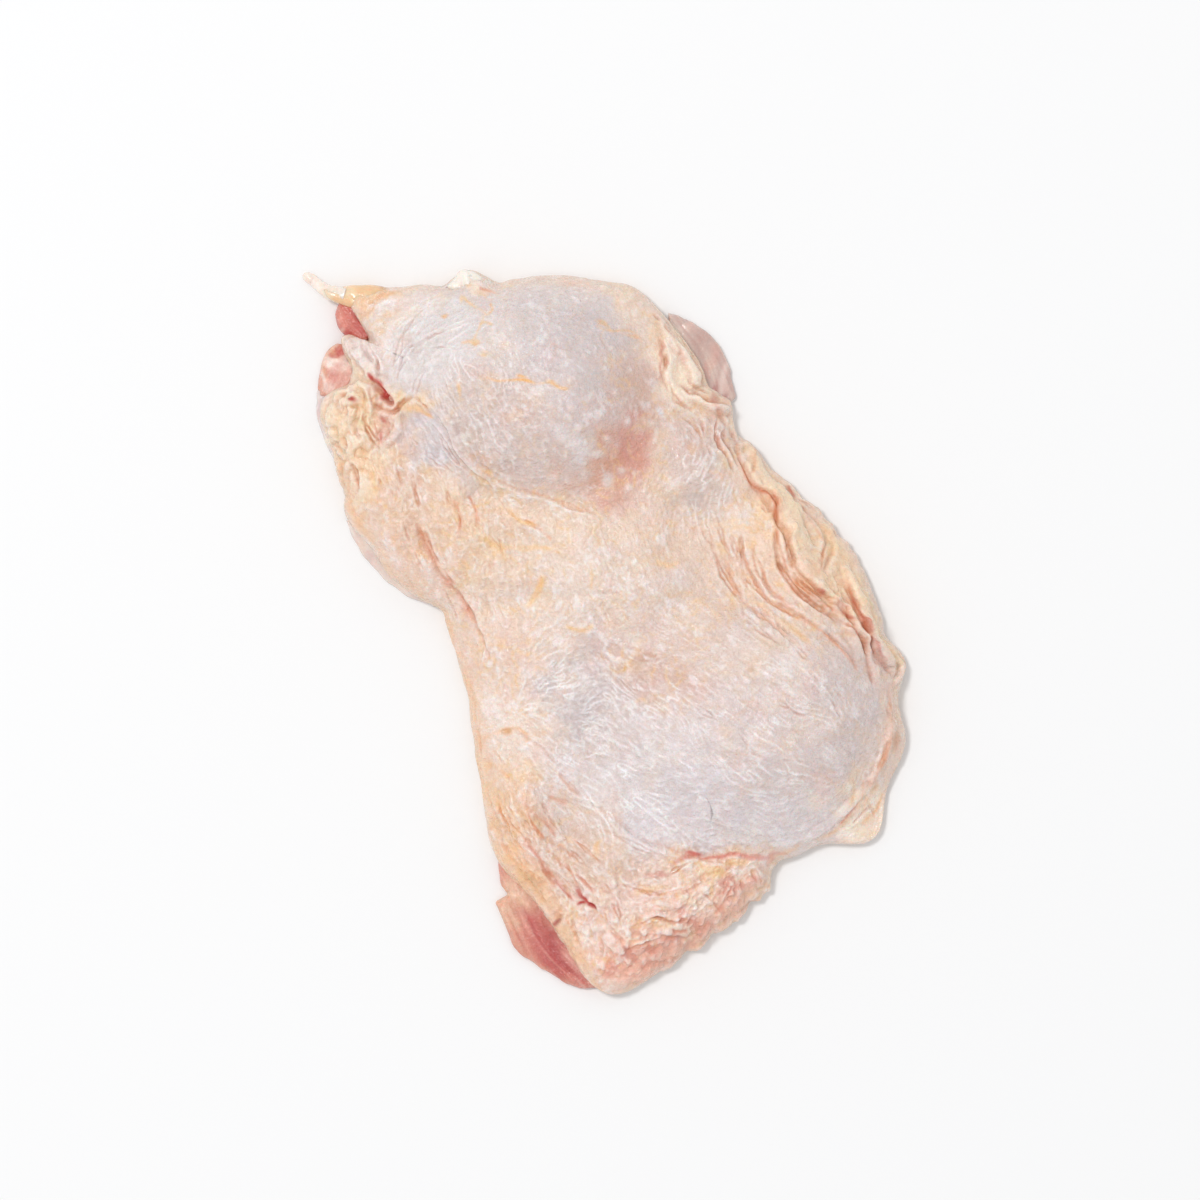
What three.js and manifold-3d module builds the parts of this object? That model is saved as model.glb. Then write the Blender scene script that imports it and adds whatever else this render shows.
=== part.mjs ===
// Raw boneless chicken thigh lying skin side up, as it is trimmed for sale: one piece of
// lean meat, opened where the bone came out, with its skin draped over the top and
// rolled under at the edges. Millimetres, +Z up, the long way along Y. The underside
// rests on Z = 0 and the origin is below the middle of the piece.
//
// The edge is a radius function around a centre: a smooth ring of radii plus named
// bulges and notches. The top is a height function: a soft body that rises from the
// edge, named domes for the two swollen lobes and the smaller mounds, and named folds
// and creases that follow short curves.
import * as THREE from 'three';
import { mergeVertices } from 'three/addons/utils/BufferGeometryUtils.js';
import Module from 'manifold-3d';

// ---- sizes ----------------------------------------------------------------
const SHIFT = [-5.42, -14.55]; // moves the middle of the footprint onto the origin
const CENTRE = [6, 8];         // the point that the edge radii are measured from
const SKIN_THICKNESS = 3.4;    // skin with the fat under it
const GAP = 0.35;              // clearance between the skin and the meat
const EDGE_INSET = 5.5;        // how far the meat stays inside the skin's edge
const BODY_RISE = 9.5;         // how far the body stands above its edge
const BODY_RUN = 13;           // the distance in which it rises that far
const NOSE = 3.0;              // height of the widest line of the rolled edge

// Edge radius every 15 degrees, counter-clockwise from +X.
const RADII = [56.0, 51.7, 53.2, 61.2, 75.2, 84.1, 88.8, 99.0, 95.5, 79.6, 63.6, 47.9,
  46.5, 50.8, 62.1, 87.9, 92.7, 96.4, 88.7, 82.9, 85.8, 83.0, 70.0, 62.8];

// Bulges and notches of the edge: [degrees, half width in degrees, reach outward].
const EDGE_FEATURES = {
  rightNook: [31.0, 2.2, -1.8],
  tongueTip: [37.5, 1.5, 1.8],
  underTongue: [44.3, 1.4, -1.5],
  topRightKnob: [64.5, 3.3, 2.1],
  fatBead: [92.0, 1.6, 3.7],
  topPadRight: [104.8, 1.6, 1.7],
  topPadDip: [108.1, 1.1, -1.3],
  topPad: [108.5, 1.9, 6.5],
  topPadTip: [109.9, 1.0, 2.6],
  firstNotch: [111.6, 1.0, -2.8],
  ruffleTip: [114.9, 1.2, 2.1],
  secondNotch: [118.8, 2.1, -5.9],
  wattleTop: [126.4, 2.5, 2.5],
  wattleFoot: [141.4, 2.7, 2.3],
  waistCorner: [162.1, 2.4, -2.3],
  flapSlope: [228.2, 8.2, -9.0],
  bottomCorner: [244.5, 5.5, 12.0],
  pocketCorner: [277.1, 2.2, -3.2],
  skirt: [292.6, 4.0, 8.3],
  sideDip: [315.7, 3.3, -4.4],
  sideTip: [323.6, 1.8, 1.4],
  tipNeck: [328.1, 1.5, -1.3],
};

// Thickness of the skin's edge above the ground every 30 degrees from +X.
const EDGE_HEIGHT = [6.0, 5.5, 7.0, 7.5, 8.0, 7.5, 7.0, 6.5, 6.5, 6.5, 5.5, 5.5];

// Mounds: [x, y, half length, half width, turn in degrees, height, squareness].
const MOUNDS = {
  upperLobe: [3.8, 67.6, 36.9, 31.6, -43, 12.0, 3.0],
  upperCrown: [14.8, 56.4, 18.4, 21.1, -3, 3.5, 2.2],
  lowerLobe: [25.9, -35.3, 40.0, 37.4, -3, 12.5, 2.9],
  kneeBump: [3.2, -11.4, 10.0, 9.0, -23, 2.0, 2.0],
  trough: [-33.6, -38.7, 6.8, 19.8, 2, -2.4, 2.2],
  silkyDip: [-16.1, -23.2, 15.8, 10.5, -53, -1.2, 2.2],
  middle: [4.7, 12.3, 29.0, 19.8, -53, 4.5, 2.2],
  bottomRidge: [-12.8, -74.1, 27.0, 10.6, 2, 2.6, 2.2],
  lowerLeft: [-38.6, -34.7, 10.5, 25.0, -8, 2.6, 2.2],
  leftFlank: [-41.6, 46.3, 9.0, 21.1, 2, 2.6, 2.2],
  wattle: [-43.0, 75.3, 7.4, 15.3, -23, 2.4, 2.4],
  greyPatch: [39.9, 26.6, 13.2, 14.5, -23, 3.2, 2.2],
  foldBank: [54.0, -7.6, 15.8, 26.3, 12, 2.5, 2.2],
};

// Folds (height > 0) and creases (height < 0): a curve, its half width and its height.
const FOLDS = {
  foldMain: { at: [[50.6, 31.5], [52.0, 21.4], [55.0, 8.1], [58.5, -9.1], [61.0, -28.8], [64.0, -38.6]], width: 2.4, height: 3.0 },
  foldInner: { at: [[46.3, 26.1], [48.6, 8.0], [53.6, -8.5], [57.5, -25.0], [61.1, -36.8]], width: 2.1, height: 2.0 },
  foldLow: { at: [[32.7, 17.6], [37.7, 2.6], [46.2, -11.0], [53.6, -24.2]], width: 2.4, height: 1.2 },
  foldOuter: { at: [[59.0, 12.2], [62.8, -4.3], [64.7, -18.9], [63.9, -32.8]], width: 1.8, height: 1.5 },
  ruffle: { at: [[42.3, 70.7], [44.1, 61.4], [45.3, 50.9], [50.3, 43.6]], width: 2.4, height: 2.5 },
  ribbon: { at: [[61.2, -45.0], [56.8, -55.6], [47.5, -66.4], [35.9, -71.5], [20.0, -71.9]], width: 1.8, height: 1.5 },
  rolledEdge: { at: [[-47.8, -39.2], [-46.2, -50.2], [-42.8, -63.5], [-40.7, -75.7], [-38.1, -82.7]], width: 2.4, height: 2.5 },
  leftRidge: { at: [[-37.4, 60.2], [-39.2, 45.2], [-39.0, 29.4], [-38.4, 13.4]], width: 3.6, height: 1.4 },
  lobeCrease: { at: [[-20.1, 58.6], [-13.5, 50.4], [-7.2, 43.1], [0.4, 35.9], [8.7, 28.6]], width: 2.8, height: -1.7 },
  lobeFlank: { at: [[12.1, 28.6], [22.2, 33.5], [30.8, 44.2], [38.4, 58.1], [42.8, 71.9]], width: 2.4, height: -1.5 },
  foldCrease: { at: [[48.7, 20.3], [52.3, 6.3], [55.6, -13.7], [58.6, -27.2]], width: 1.6, height: -1.6 },
  leftCrease: { at: [[-33.6, 62.3], [-34.7, 49.1], [-34.5, 34.7], [-34.0, 19.8], [-32.2, 5.5]], width: 3.2, height: -1.5 },
  valley: { at: [[-28.1, -21.0], [-21.6, -39.5], [-12.4, -54.8], [-0.7, -64.4], [15.7, -68.6]], width: 3.3, height: -1.8 },
  edgeCrease: { at: [[-41.0, -41.3], [-38.8, -55.1], [-33.6, -64.4]], width: 2.4, height: -1.2 },
};

// Lean meat that shows past the skin: [x, y, half length, half width, turn, height].
const LEAN = {
  flap: [-47.6, -65.6, 19.6, 8.2, -76, 7.6],       // muscle end at the lower left
  leanA: [-30.2, 98.9, 7.8, 4.4, -62, 6.2],       // dark end in the first notch
  leanB: [-39.0, 90.2, 7.8, 5.8, 59, 6.4],         // second end, in the second notch
  membrane: [48.6, 56.7, 17.2, 5.6, -75, 3.2],     // thin muscle sheet at the right
  underSheet: [-44.9, 38.6, 13.4, 4.6, -71, 2.6],  // thin layer under the left flank
};
const STRAND = { at: [[-27.6, 104.0], [-30.9, 107.9], [-34.2, 112.9], [-37.6, 117.8]], root: 1.7, tip: 0.9 };
const SLIT = { at: [-29.3, 80.0], length: 8.6, width: 2.6, turn: -75 };   // tear in the skin

// The rays that the meshes run along start on this line inside the body: [x, y].
const SPINE = [[6.0, -54], [3.7, -12], [1.5, 25], [-3.0, 70]];

// Mesh steps.
const SKIN_STEPS = { around: 140, rim: 4, across: 11 };
const MEAT_STEPS = { around: 60, rim: 3, across: 6 };

// ---- curves and functions --------------------------------------------------
const RAD = Math.PI / 180;
const wrap = (a) => ((a % 360) + 360) % 360;
const bell = (u) => Math.exp(-0.5 * u * u);
const clamp = (v, lo, hi) => Math.min(hi, Math.max(lo, v));

// A closed Catmull-Rom curve through equally spaced values.
function ringValue(values, deg) {
  const n = values.length, u = wrap(deg) / (360 / n), i = Math.floor(u), t = u - i;
  const [a, b, c, d] = [-1, 0, 1, 2].map((j) => values[(i + j + n) % n]);
  return 0.5 * (2 * b + (c - a) * t + (2 * a - 5 * b + 4 * c - d) * t * t + (3 * b - a - 3 * c + d) * t ** 3);
}

function edgeRadius(deg, narrowest = 0) {
  let r = ringValue(RADII, deg);
  for (const [at, w, out] of Object.values(EDGE_FEATURES)) {
    if (w >= narrowest) r += out * bell((wrap(deg - at + 180) - 180) / w);
  }
  return r;
}

// Distance inside the edge, taken square to the smooth form of the edge.
function edgeDistance(x, y) {
  const deg = Math.atan2(y - CENTRE[1], x - CENTRE[0]) / RAD;
  const r = edgeRadius(deg, 3.9), slope = (edgeRadius(deg + 2, 3.9) - edgeRadius(deg - 2, 3.9)) / (4 * RAD);
  return (r - Math.hypot(x - CENTRE[0], y - CENTRE[1])) * r / Math.hypot(r, slope);
}

function mound([cx, cy, a, b, turn, h, e], x, y) {
  const c = Math.cos(turn * RAD), s = Math.sin(turn * RAD), dx = x - cx, dy = y - cy;
  const rho = Math.hypot((dx * c + dy * s) / a, (dy * c - dx * s) / b);
  return rho < 1 ? h * (1 - rho ** e) ** 2 : 0;
}

// Soft body without its folds.
function bodyTop(x, y) {
  const deg = Math.atan2(y - CENTRE[1], x - CENTRE[0]) / RAD;
  const d = Math.max(0, edgeDistance(x, y));
  let z = ringValue(EDGE_HEIGHT, deg) + BODY_RISE * (1 - Math.exp(-((d / BODY_RUN) ** 1.3)));
  for (const m of Object.values(MOUNDS)) z += mound(m, x, y);
  return z;
}

const foldCurves = Object.values(FOLDS).map(({ at, width, height }) => {
  const curve = new THREE.CatmullRomCurve3(at.map(([x, y]) => new THREE.Vector3(x, y, 0)));
  return { points: curve.getPoints(40), width, height };
});

function foldRelief(x, y) {
  let z = 0;
  for (const { points, width, height } of foldCurves) {
    let best = Infinity, at = 0;
    points.forEach((p, i) => {
      const d = (p.x - x) ** 2 + (p.y - y) ** 2;
      if (d < best) { best = d; at = i / (points.length - 1); }
    });
    const taper = Math.sqrt(clamp(at / 0.18, 0.05, 1) * clamp((1 - at) / 0.18, 0.05, 1));
    z += height * taper * bell(Math.sqrt(best) / width);
  }
  return z;
}

function spinePoint(y) {
  for (let i = 1; i < SPINE.length; i++) {
    const [x0, y0] = SPINE[i - 1], [x1, y1] = SPINE[i];
    if (y <= y1 || i === SPINE.length - 1) return [x0 + (x1 - x0) * (y - y0) / (y1 - y0), y];
  }
}

// Equally spaced stations along an edge: [x, y, degrees].
function edgeStations(radius, count) {
  const fine = [];
  for (let i = 0; i <= 2880; i++) {
    const deg = i / 8, r = radius(deg);
    fine.push([CENTRE[0] + r * Math.cos(deg * RAD), CENTRE[1] + r * Math.sin(deg * RAD), deg]);
  }
  const run = [0];
  for (let i = 1; i < fine.length; i++) run.push(run[i - 1] + Math.hypot(fine[i][0] - fine[i - 1][0], fine[i][1] - fine[i - 1][1]));
  const out = [];
  for (let k = 0, i = 0; k < count; k++) {
    while (run[i + 1] < run.at(-1) * k / count) i++;
    out.push(fine[i]);
  }
  return out;
}

// ---- solids ----------------------------------------------------------------
function closedGeometry(vertices, faces) {
  const g = new THREE.BufferGeometry();
  g.setAttribute('position', new THREE.Float32BufferAttribute(vertices.flat(), 3));
  g.setIndex(faces.flat());
  return g;
}

function joinRings(faces, lower, upper, count) {
  for (let i = 0; i < count; i++) {
    const j = (i + 1) % count;
    faces.push([lower + i, lower + j, upper + j], [lower + i, upper + j, upper + i]);
  }
}

// Closes the narrow ring beside the spine, stepping up its two sides together.
function closeSpine(vertices, faces, start, count) {
  const y = (i) => vertices[start + i % count][1];
  let top = 0, foot = 0;
  for (let i = 0; i < count; i++) {
    if (y(i) > y(top)) top = i;
    if (y(i) < y(foot)) foot = i;
  }
  const id = (i) => start + ((i % count) + count) % count;
  let left = foot, right = foot;                       // left runs clockwise, right the other way
  const leftEnd = top > foot ? top - count : top, rightEnd = top > foot ? top : top + count;
  while (left > leftEnd || right < rightEnd) {
    const stepRight = left <= leftEnd || (right < rightEnd && y(right + 1) < y((left - 1 + 2 * count)));
    const next = stepRight ? right + 1 : left - 1;
    if (new Set([id(left), id(right), id(next)]).size === 3) faces.push([id(left), id(right), id(next)]);
    if (stepRight) right = next; else left = next;
  }
}

// A pillow on rings: the edge at nose height, a rounded rim, the top along rays to the
// spine, and a flat underside at floor.
function pillow({ radius, height, steps, nose, rim, floor, grow = 0 }) {
  const stations = edgeStations(radius, steps.around), n = steps.around;
  const ys = stations.map((s) => s[1]), lo = Math.min(...ys), hi = Math.max(...ys);
  const rays = stations.map(([x, y]) => {
    const foot = spinePoint(SPINE[0][1] + (SPINE.at(-1)[1] - SPINE[0][1]) * (y - lo) / (hi - lo));
    return { x, y, dx: foot[0] - x, dy: foot[1] - y, length: Math.hypot(foot[0] - x, foot[1] - y) };
  });
  const vertices = [], faces = [], rings = [];
  const ring = (place) => { rings.push(vertices.length); rays.forEach((r, i) => vertices.push(place(r, i))); };
  const at = (r, s, z, share = 1) => {
    const x = r.x + r.dx * s / r.length, y = r.y + r.dy * s / r.length, out = grow * share / r.length;
    return [x - r.dx * out, y - r.dy * out, typeof z === 'number' ? z : z(x, y) + grow];
  };
  if (floor) ring((r) => at(r, nose * 1.1, floor));
  ring((r) => at(r, nose * 1.1, 0));
  ring((r) => at(r, nose * 0.25, nose * 0.35));
  for (let k = 0; k <= steps.rim; k++) {
    const a = 90 * RAD * k / steps.rim;
    ring((r) => at(r, rim * (1 - Math.cos(a)), (x, y) => nose + (height(x, y) - nose) * Math.sin(a), Math.cos(a)));
  }
  for (let k = 1; k <= steps.across; k++) {
    ring((r) => at(r, rim + (r.length - 3 - rim) * k / steps.across, height, 0));
  }
  for (let k = 1; k < rings.length; k++) joinRings(faces, rings[k - 1], rings[k], n);
  const outline = (start) => vertices.slice(start, start + n).map(([x, y]) => new THREE.Vector2(x, y));
  closeSpine(vertices, faces, rings.at(-1), n);
  for (const [a, b, c] of THREE.ShapeUtils.triangulateShape(outline(rings[0]), [])) faces.push([c, b, a]);
  return closedGeometry(vertices, faces);
}

// A low dome with a flat underside, round the middle and steep at its rim.
function dome([cx, cy, a, b, turn, h], grow, floor, around = 18, rows = 4) {
  const c = Math.cos(turn * RAD), s = Math.sin(turn * RAD), vertices = [], faces = [];
  const put = (u, v, z) => vertices.push([cx + u * c - v * s, cy + u * s + v * c, z]);
  const rings = [...Array(rows).keys()].map((k) => 90 * RAD * k / rows);
  if (floor) rings.unshift(null);
  for (const lift of rings) {
    for (let i = 0; i < around; i++) {
      const t = 360 * RAD * i / around, r = Math.cos(lift ?? 0);
      put((a + grow) * r * Math.cos(t), (b + grow) * r * Math.sin(t), lift === null ? floor : (h + grow) * Math.sin(lift));
    }
  }
  for (let k = 1; k < rings.length; k++) joinRings(faces, (k - 1) * around, k * around, around);
  put(0, 0, h + grow);
  put(0, 0, floor);
  const top = rings.length * around;
  for (let i = 0; i < around; i++) {
    faces.push([top - around + i, top - around + (i + 1) % around, top], [(i + 1) % around, i, top + 1]);
  }
  return closedGeometry(vertices, faces);
}

// The sinew: a tapered round cord that lies on the ground.
function strand({ at, root, tip }) {
  const curve = new THREE.CatmullRomCurve3(at.map(([x, y]) => new THREE.Vector3(x, y, 0)));
  const rows = 8, around = 8, vertices = [], faces = [];
  for (let k = 0; k <= rows; k++) {
    const p = curve.getPoint(k / rows), t = curve.getTangent(k / rows), r = root + (tip - root) * k / rows;
    for (let i = 0; i < around; i++) {
      const a = 360 * RAD * (i + 0.5) / around, side = r * Math.cos(a);
      vertices.push([p.x - t.y * side, p.y + t.x * side, r * 1.08 + r * Math.sin(a)]);
    }
  }
  for (let k = 1; k <= rows; k++) joinRings(faces, (k - 1) * around, k * around, around);
  const outline = [...Array(around).keys()];
  for (let i = 1; i < around - 1; i++) {
    faces.push([outline[0], outline[i + 1], outline[i]], [rows * around, rows * around + i, rows * around + i + 1]);
  }
  return closedGeometry(vertices, faces);
}

// A lens-shaped prism for the tear.
function lens({ at: [cx, cy], length, width, turn }, low, high) {
  const c = Math.cos(turn * RAD), s = Math.sin(turn * RAD), n = 12, vertices = [], faces = [];
  for (const z of [low, high]) {
    for (let i = 0; i < n; i++) {
      const t = 360 * RAD * i / n, u = 0.5 * length * Math.cos(t), v = 0.5 * width * Math.sin(t);
      vertices.push([cx + u * c - v * s, cy + u * s + v * c, z]);
    }
  }
  joinRings(faces, 0, n, n);
  for (let i = 1; i < n - 1; i++) faces.push([0, i + 1, i], [n, n + i, n + i + 1]);
  return closedGeometry(vertices, faces);
}

const wasm = await Module();
wasm.setup();

function toSolid(geometry) {
  const g = mergeVertices(geometry, 1e-4);
  return new wasm.Manifold(new wasm.Mesh({
    numProp: 3,
    vertProperties: new Float32Array(g.attributes.position.array),
    triVerts: new Uint32Array(g.index.array),
  }));
}

function toGeometry(solid) {
  const bodies = solid.decompose().sort((a, b) => b.volume() - a.volume());
  const { vertProperties, triVerts } = bodies[0].getMesh();
  const g = new THREE.BufferGeometry();
  g.setAttribute('position', new THREE.BufferAttribute(new Float32Array(vertProperties), 3));
  g.setIndex(new THREE.BufferAttribute(new Uint32Array(triVerts), 1));
  g.computeVertexNormals();
  return g;
}

// The skin with its folds, as a full pillow that the meat's place is cut out of.
let skinSolid = toSolid(pillow({
  radius: (deg) => edgeRadius(deg),
  height: (x, y) => bodyTop(x, y) + foldRelief(x, y),
  steps: SKIN_STEPS, nose: NOSE, rim: 4.5, floor: 0,
}));

// The meat under the skin, grown by the clearance when it is the cutter.
const core = (grow, floor) => toSolid(pillow({
  radius: (deg) => edgeRadius(deg, 3.9) - EDGE_INSET,
  height: (x, y) => bodyTop(x, y) - SKIN_THICKNESS,
  steps: MEAT_STEPS, nose: 2.2, rim: 4.5, floor, grow,
}));

let meatSolid = core(0, 0);
skinSolid = skinSolid.add(toSolid(strand(STRAND)));   // the sinew grows out of the fat pad
skinSolid = skinSolid.subtract(core(GAP, -1));
for (const size of Object.values(LEAN)) {
  meatSolid = meatSolid.add(toSolid(dome(size, 0, 0)));
  skinSolid = skinSolid.subtract(toSolid(dome(size, GAP, -1)));
}
skinSolid = skinSolid.subtract(toSolid(lens(SLIT, 2, 40)));

const flesh = new THREE.MeshStandardMaterial({ color: 0xd99885, roughness: 0.42, metalness: 0 });
const hide = new THREE.MeshStandardMaterial({ color: 0xecd4c4, roughness: 0.46, metalness: 0 });

const meat = new THREE.Mesh(toGeometry(meatSolid), flesh);
meat.name = 'meat';
const skin = new THREE.Mesh(toGeometry(skinSolid), hide);
skin.name = 'skin';

const thigh = new THREE.Group();
thigh.add(meat, skin);
thigh.position.set(SHIFT[0], SHIFT[1], 0);

export default thigh;
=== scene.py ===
"""Raw boneless chicken thigh, skin side up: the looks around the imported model.

The skin is one fine shell on rings. Its base is the same edge function and height
function as the solid, with a relief map over the top: named folds and creases,
wrinkles that run along named strokes, and bumps. Colours are painted in named zones
over the same map. The lean ends that show past the skin, the thin membranes and the
underside are pieces of their own.
"""
import math

import bpy
import numpy as np
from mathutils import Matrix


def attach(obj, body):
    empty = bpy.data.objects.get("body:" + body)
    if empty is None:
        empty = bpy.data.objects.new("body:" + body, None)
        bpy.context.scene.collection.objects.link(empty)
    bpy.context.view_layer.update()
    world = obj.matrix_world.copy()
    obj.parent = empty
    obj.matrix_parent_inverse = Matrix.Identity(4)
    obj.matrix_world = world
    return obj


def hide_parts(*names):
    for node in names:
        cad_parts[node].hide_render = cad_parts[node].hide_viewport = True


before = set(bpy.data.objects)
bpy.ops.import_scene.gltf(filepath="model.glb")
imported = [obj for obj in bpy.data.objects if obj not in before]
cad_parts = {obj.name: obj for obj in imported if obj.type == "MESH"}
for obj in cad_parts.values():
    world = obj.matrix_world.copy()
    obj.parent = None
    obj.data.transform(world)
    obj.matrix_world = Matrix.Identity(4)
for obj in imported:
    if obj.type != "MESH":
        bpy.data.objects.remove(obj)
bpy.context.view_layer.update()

# ---------------------------------------------------------------------------
# Drawing plane. Points of folds and zones are written as (u, v), u to the right and
# v down, in steps of UNIT mm, as seen by the camera. at() turns them into mm.
# ---------------------------------------------------------------------------
UNIT = 0.2634
TURN = math.radians(-23.0)
ORIGIN = (612.0, 630.0)
SHIFT = np.array([-5.42, -14.55])
CENTRE = (6.0, 8.0)
VIEW_CENTRE = (600.0, 600.0)
VIEW_SIDE = 1200.0


def at(points):
    p = np.asarray(points, float).reshape(-1, 2)
    x, y = (p[:, 0] - ORIGIN[0]) * UNIT, (ORIGIN[1] - p[:, 1]) * UNIT
    c, s = math.cos(TURN), math.sin(TURN)
    return np.stack([x * c - y * s, x * s + y * c], 1)


# ---------------------------------------------------------------------------
# Form, in mm: the same sizes as the solid model
# ---------------------------------------------------------------------------
RADII = [56.0, 51.7, 53.2, 61.2, 75.2, 84.1, 88.8, 99.0, 95.5, 79.6, 63.6, 47.9,
         46.5, 50.8, 62.1, 87.9, 92.7, 96.4, 88.7, 82.9, 85.8, 83.0, 70.0, 62.8]
EDGE_FEATURES = [
    (31.0, 2.2, -1.8), (37.5, 1.5, 1.8), (44.3, 1.4, -1.5), (64.5, 3.3, 2.1), (92.0, 1.6, 3.7),
    (104.8, 1.6, 1.7), (108.1, 1.1, -1.3), (108.5, 1.9, 6.5), (109.9, 1.0, 2.6), (111.6, 1.0, -2.8),
    (114.9, 1.2, 2.1), (118.8, 2.1, -5.9), (126.4, 2.5, 2.5), (141.4, 2.7, 2.3), (162.1, 2.4, -2.3),
    (228.2, 8.2, -9.0), (244.5, 5.5, 12.0), (277.1, 2.2, -3.2), (292.6, 4.0, 8.3), (315.7, 3.3, -4.4),
    (323.6, 1.8, 1.4), (328.1, 1.5, -1.3),
]
# small frills of the skin's edge, only in the looks: degrees, half width, out
FRILLS = [
    (346.2, 0.9, 0.5), (349.4, 0.7, 0.6), (352.0, 0.8, -0.5), (355.2, 0.7, 0.5), (359.5, 1.0, 0.5), (4.6, 1.1, -0.5),
    (9.8, 1.2, 0.5), (17.0, 1.6, -0.5), (254.5, 0.7, 0.9), (257.2, 0.6, -0.9), (259.4, 0.7, 0.9), (262.0, 0.5, -0.8), (264.2, 0.6, 0.6),
    (266.9, 0.8, 1.1), (269.6, 0.5, -1.0), (271.4, 0.5, 0.6), (273.6, 0.6, 1.1), (275.6, 0.5, -0.6), (129.8, 0.9, -0.6), (133.6, 1.2, 0.6), (137.6, 1.0, -0.5),
    (146.8, 1.3, -0.5), (152.4, 1.6, 0.5), (172.0, 2.2, 0.5), (192.0, 2.4, -0.5), (206.0, 2.0, 0.5), (216.0, 1.7, -0.5),
    (88.4, 1.0, -0.7), (94.8, 0.9, 1.0), (97.4, 0.9, -0.7), (100.4, 1.1, 0.4), (111.9, 0.8, -4.2),
]
# where the skin's edge lies over something: degrees, half width, height of its lip, how far it reaches over
OVERHANGS = [
    (235.0, 12.0, 4.9, 4.2), (111.8, 1.9, 5.2, 3.4), (117.0, 3.6, 5.0, 3.4), (48.5, 6.0, 3.9, 4.0), (150.0, 7.5, 3.3, 3.4),
    (124.5, 3.5, 3.3, 2.8),
]
EDGE_HEIGHT = [6.0, 5.5, 7.0, 7.5, 8.0, 7.5, 7.0, 6.5, 6.5, 6.5, 5.5, 5.5]
BODY_RISE, BODY_RUN, NOSE = 9.5, 13.0, 3.0
MOUNDS = [
    (3.8, 67.6, 36.9, 31.6, -43, 12.0, 3.0), (14.8, 56.4, 18.4, 21.1, -3, 3.5, 2.2),
    (25.9, -35.3, 40.0, 37.4, -3, 12.5, 2.9), (3.2, -11.4, 10.0, 9.0, -23, 2.0, 2.0),
    (-33.6, -38.7, 6.8, 19.8, 2, -2.4, 2.2), (-16.1, -23.2, 15.8, 10.5, -53, -1.2, 2.2),
    (4.7, 12.3, 29.0, 19.8, -53, 4.5, 2.2), (-12.8, -74.1, 27.0, 10.6, 2, 2.6, 2.2),
    (-38.6, -34.7, 10.5, 25.0, -8, 2.6, 2.2), (-41.6, 46.3, 9.0, 21.1, 2, 2.6, 2.2),
    (-43.0, 75.3, 7.4, 15.3, -23, 2.4, 2.4), (39.9, 26.6, 13.2, 14.5, -23, 3.2, 2.2),
    (54.0, -7.6, 15.8, 26.3, 12, 2.5, 2.2),
]
SPINE = [(6.0, -54.0), (3.7, -12.0), (1.5, 25.0), (-3.0, 70.0)]
RIM = 4.6          # how far in the rounded edge reaches
UNDER = 2.4        # how far the edge turns back under itself
SKIN_THICKNESS = 3.0

# Broad folds, as in the solid: points (u, v), half width mm, height mm
BROAD = [
    ([(743, 450), (757, 478), (777, 515), (797, 560), (820, 600)], 3.0, 2.2),
    ([(845, 572), (860, 600), (872, 632), (890, 664)], 2.2, 2.4),
    ([(795, 560), (815, 590), (842, 622), (865, 655)], 2.4, 1.5),
    ([(760, 530), (768, 565), (790, 600), (825, 630)], 2.6, 1.2),
    ([(662, 306), (672, 332), (690, 360), (700, 388)], 2.3, 2.3),
    ([(505, 850), (530, 880), (552, 918), (575, 955), (592, 980)], 3.0, 2.4),
    ([(412, 428), (440, 470), (470, 498)], 3.2, 1.0),
    ([(366, 480), (380, 530), (405, 570), (430, 610)], 3.4, 1.2),
    ([(893, 668), (897, 705), (889, 748), (866, 790), (832, 822), (790, 846)], 1.9, 1.3),
]

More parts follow.
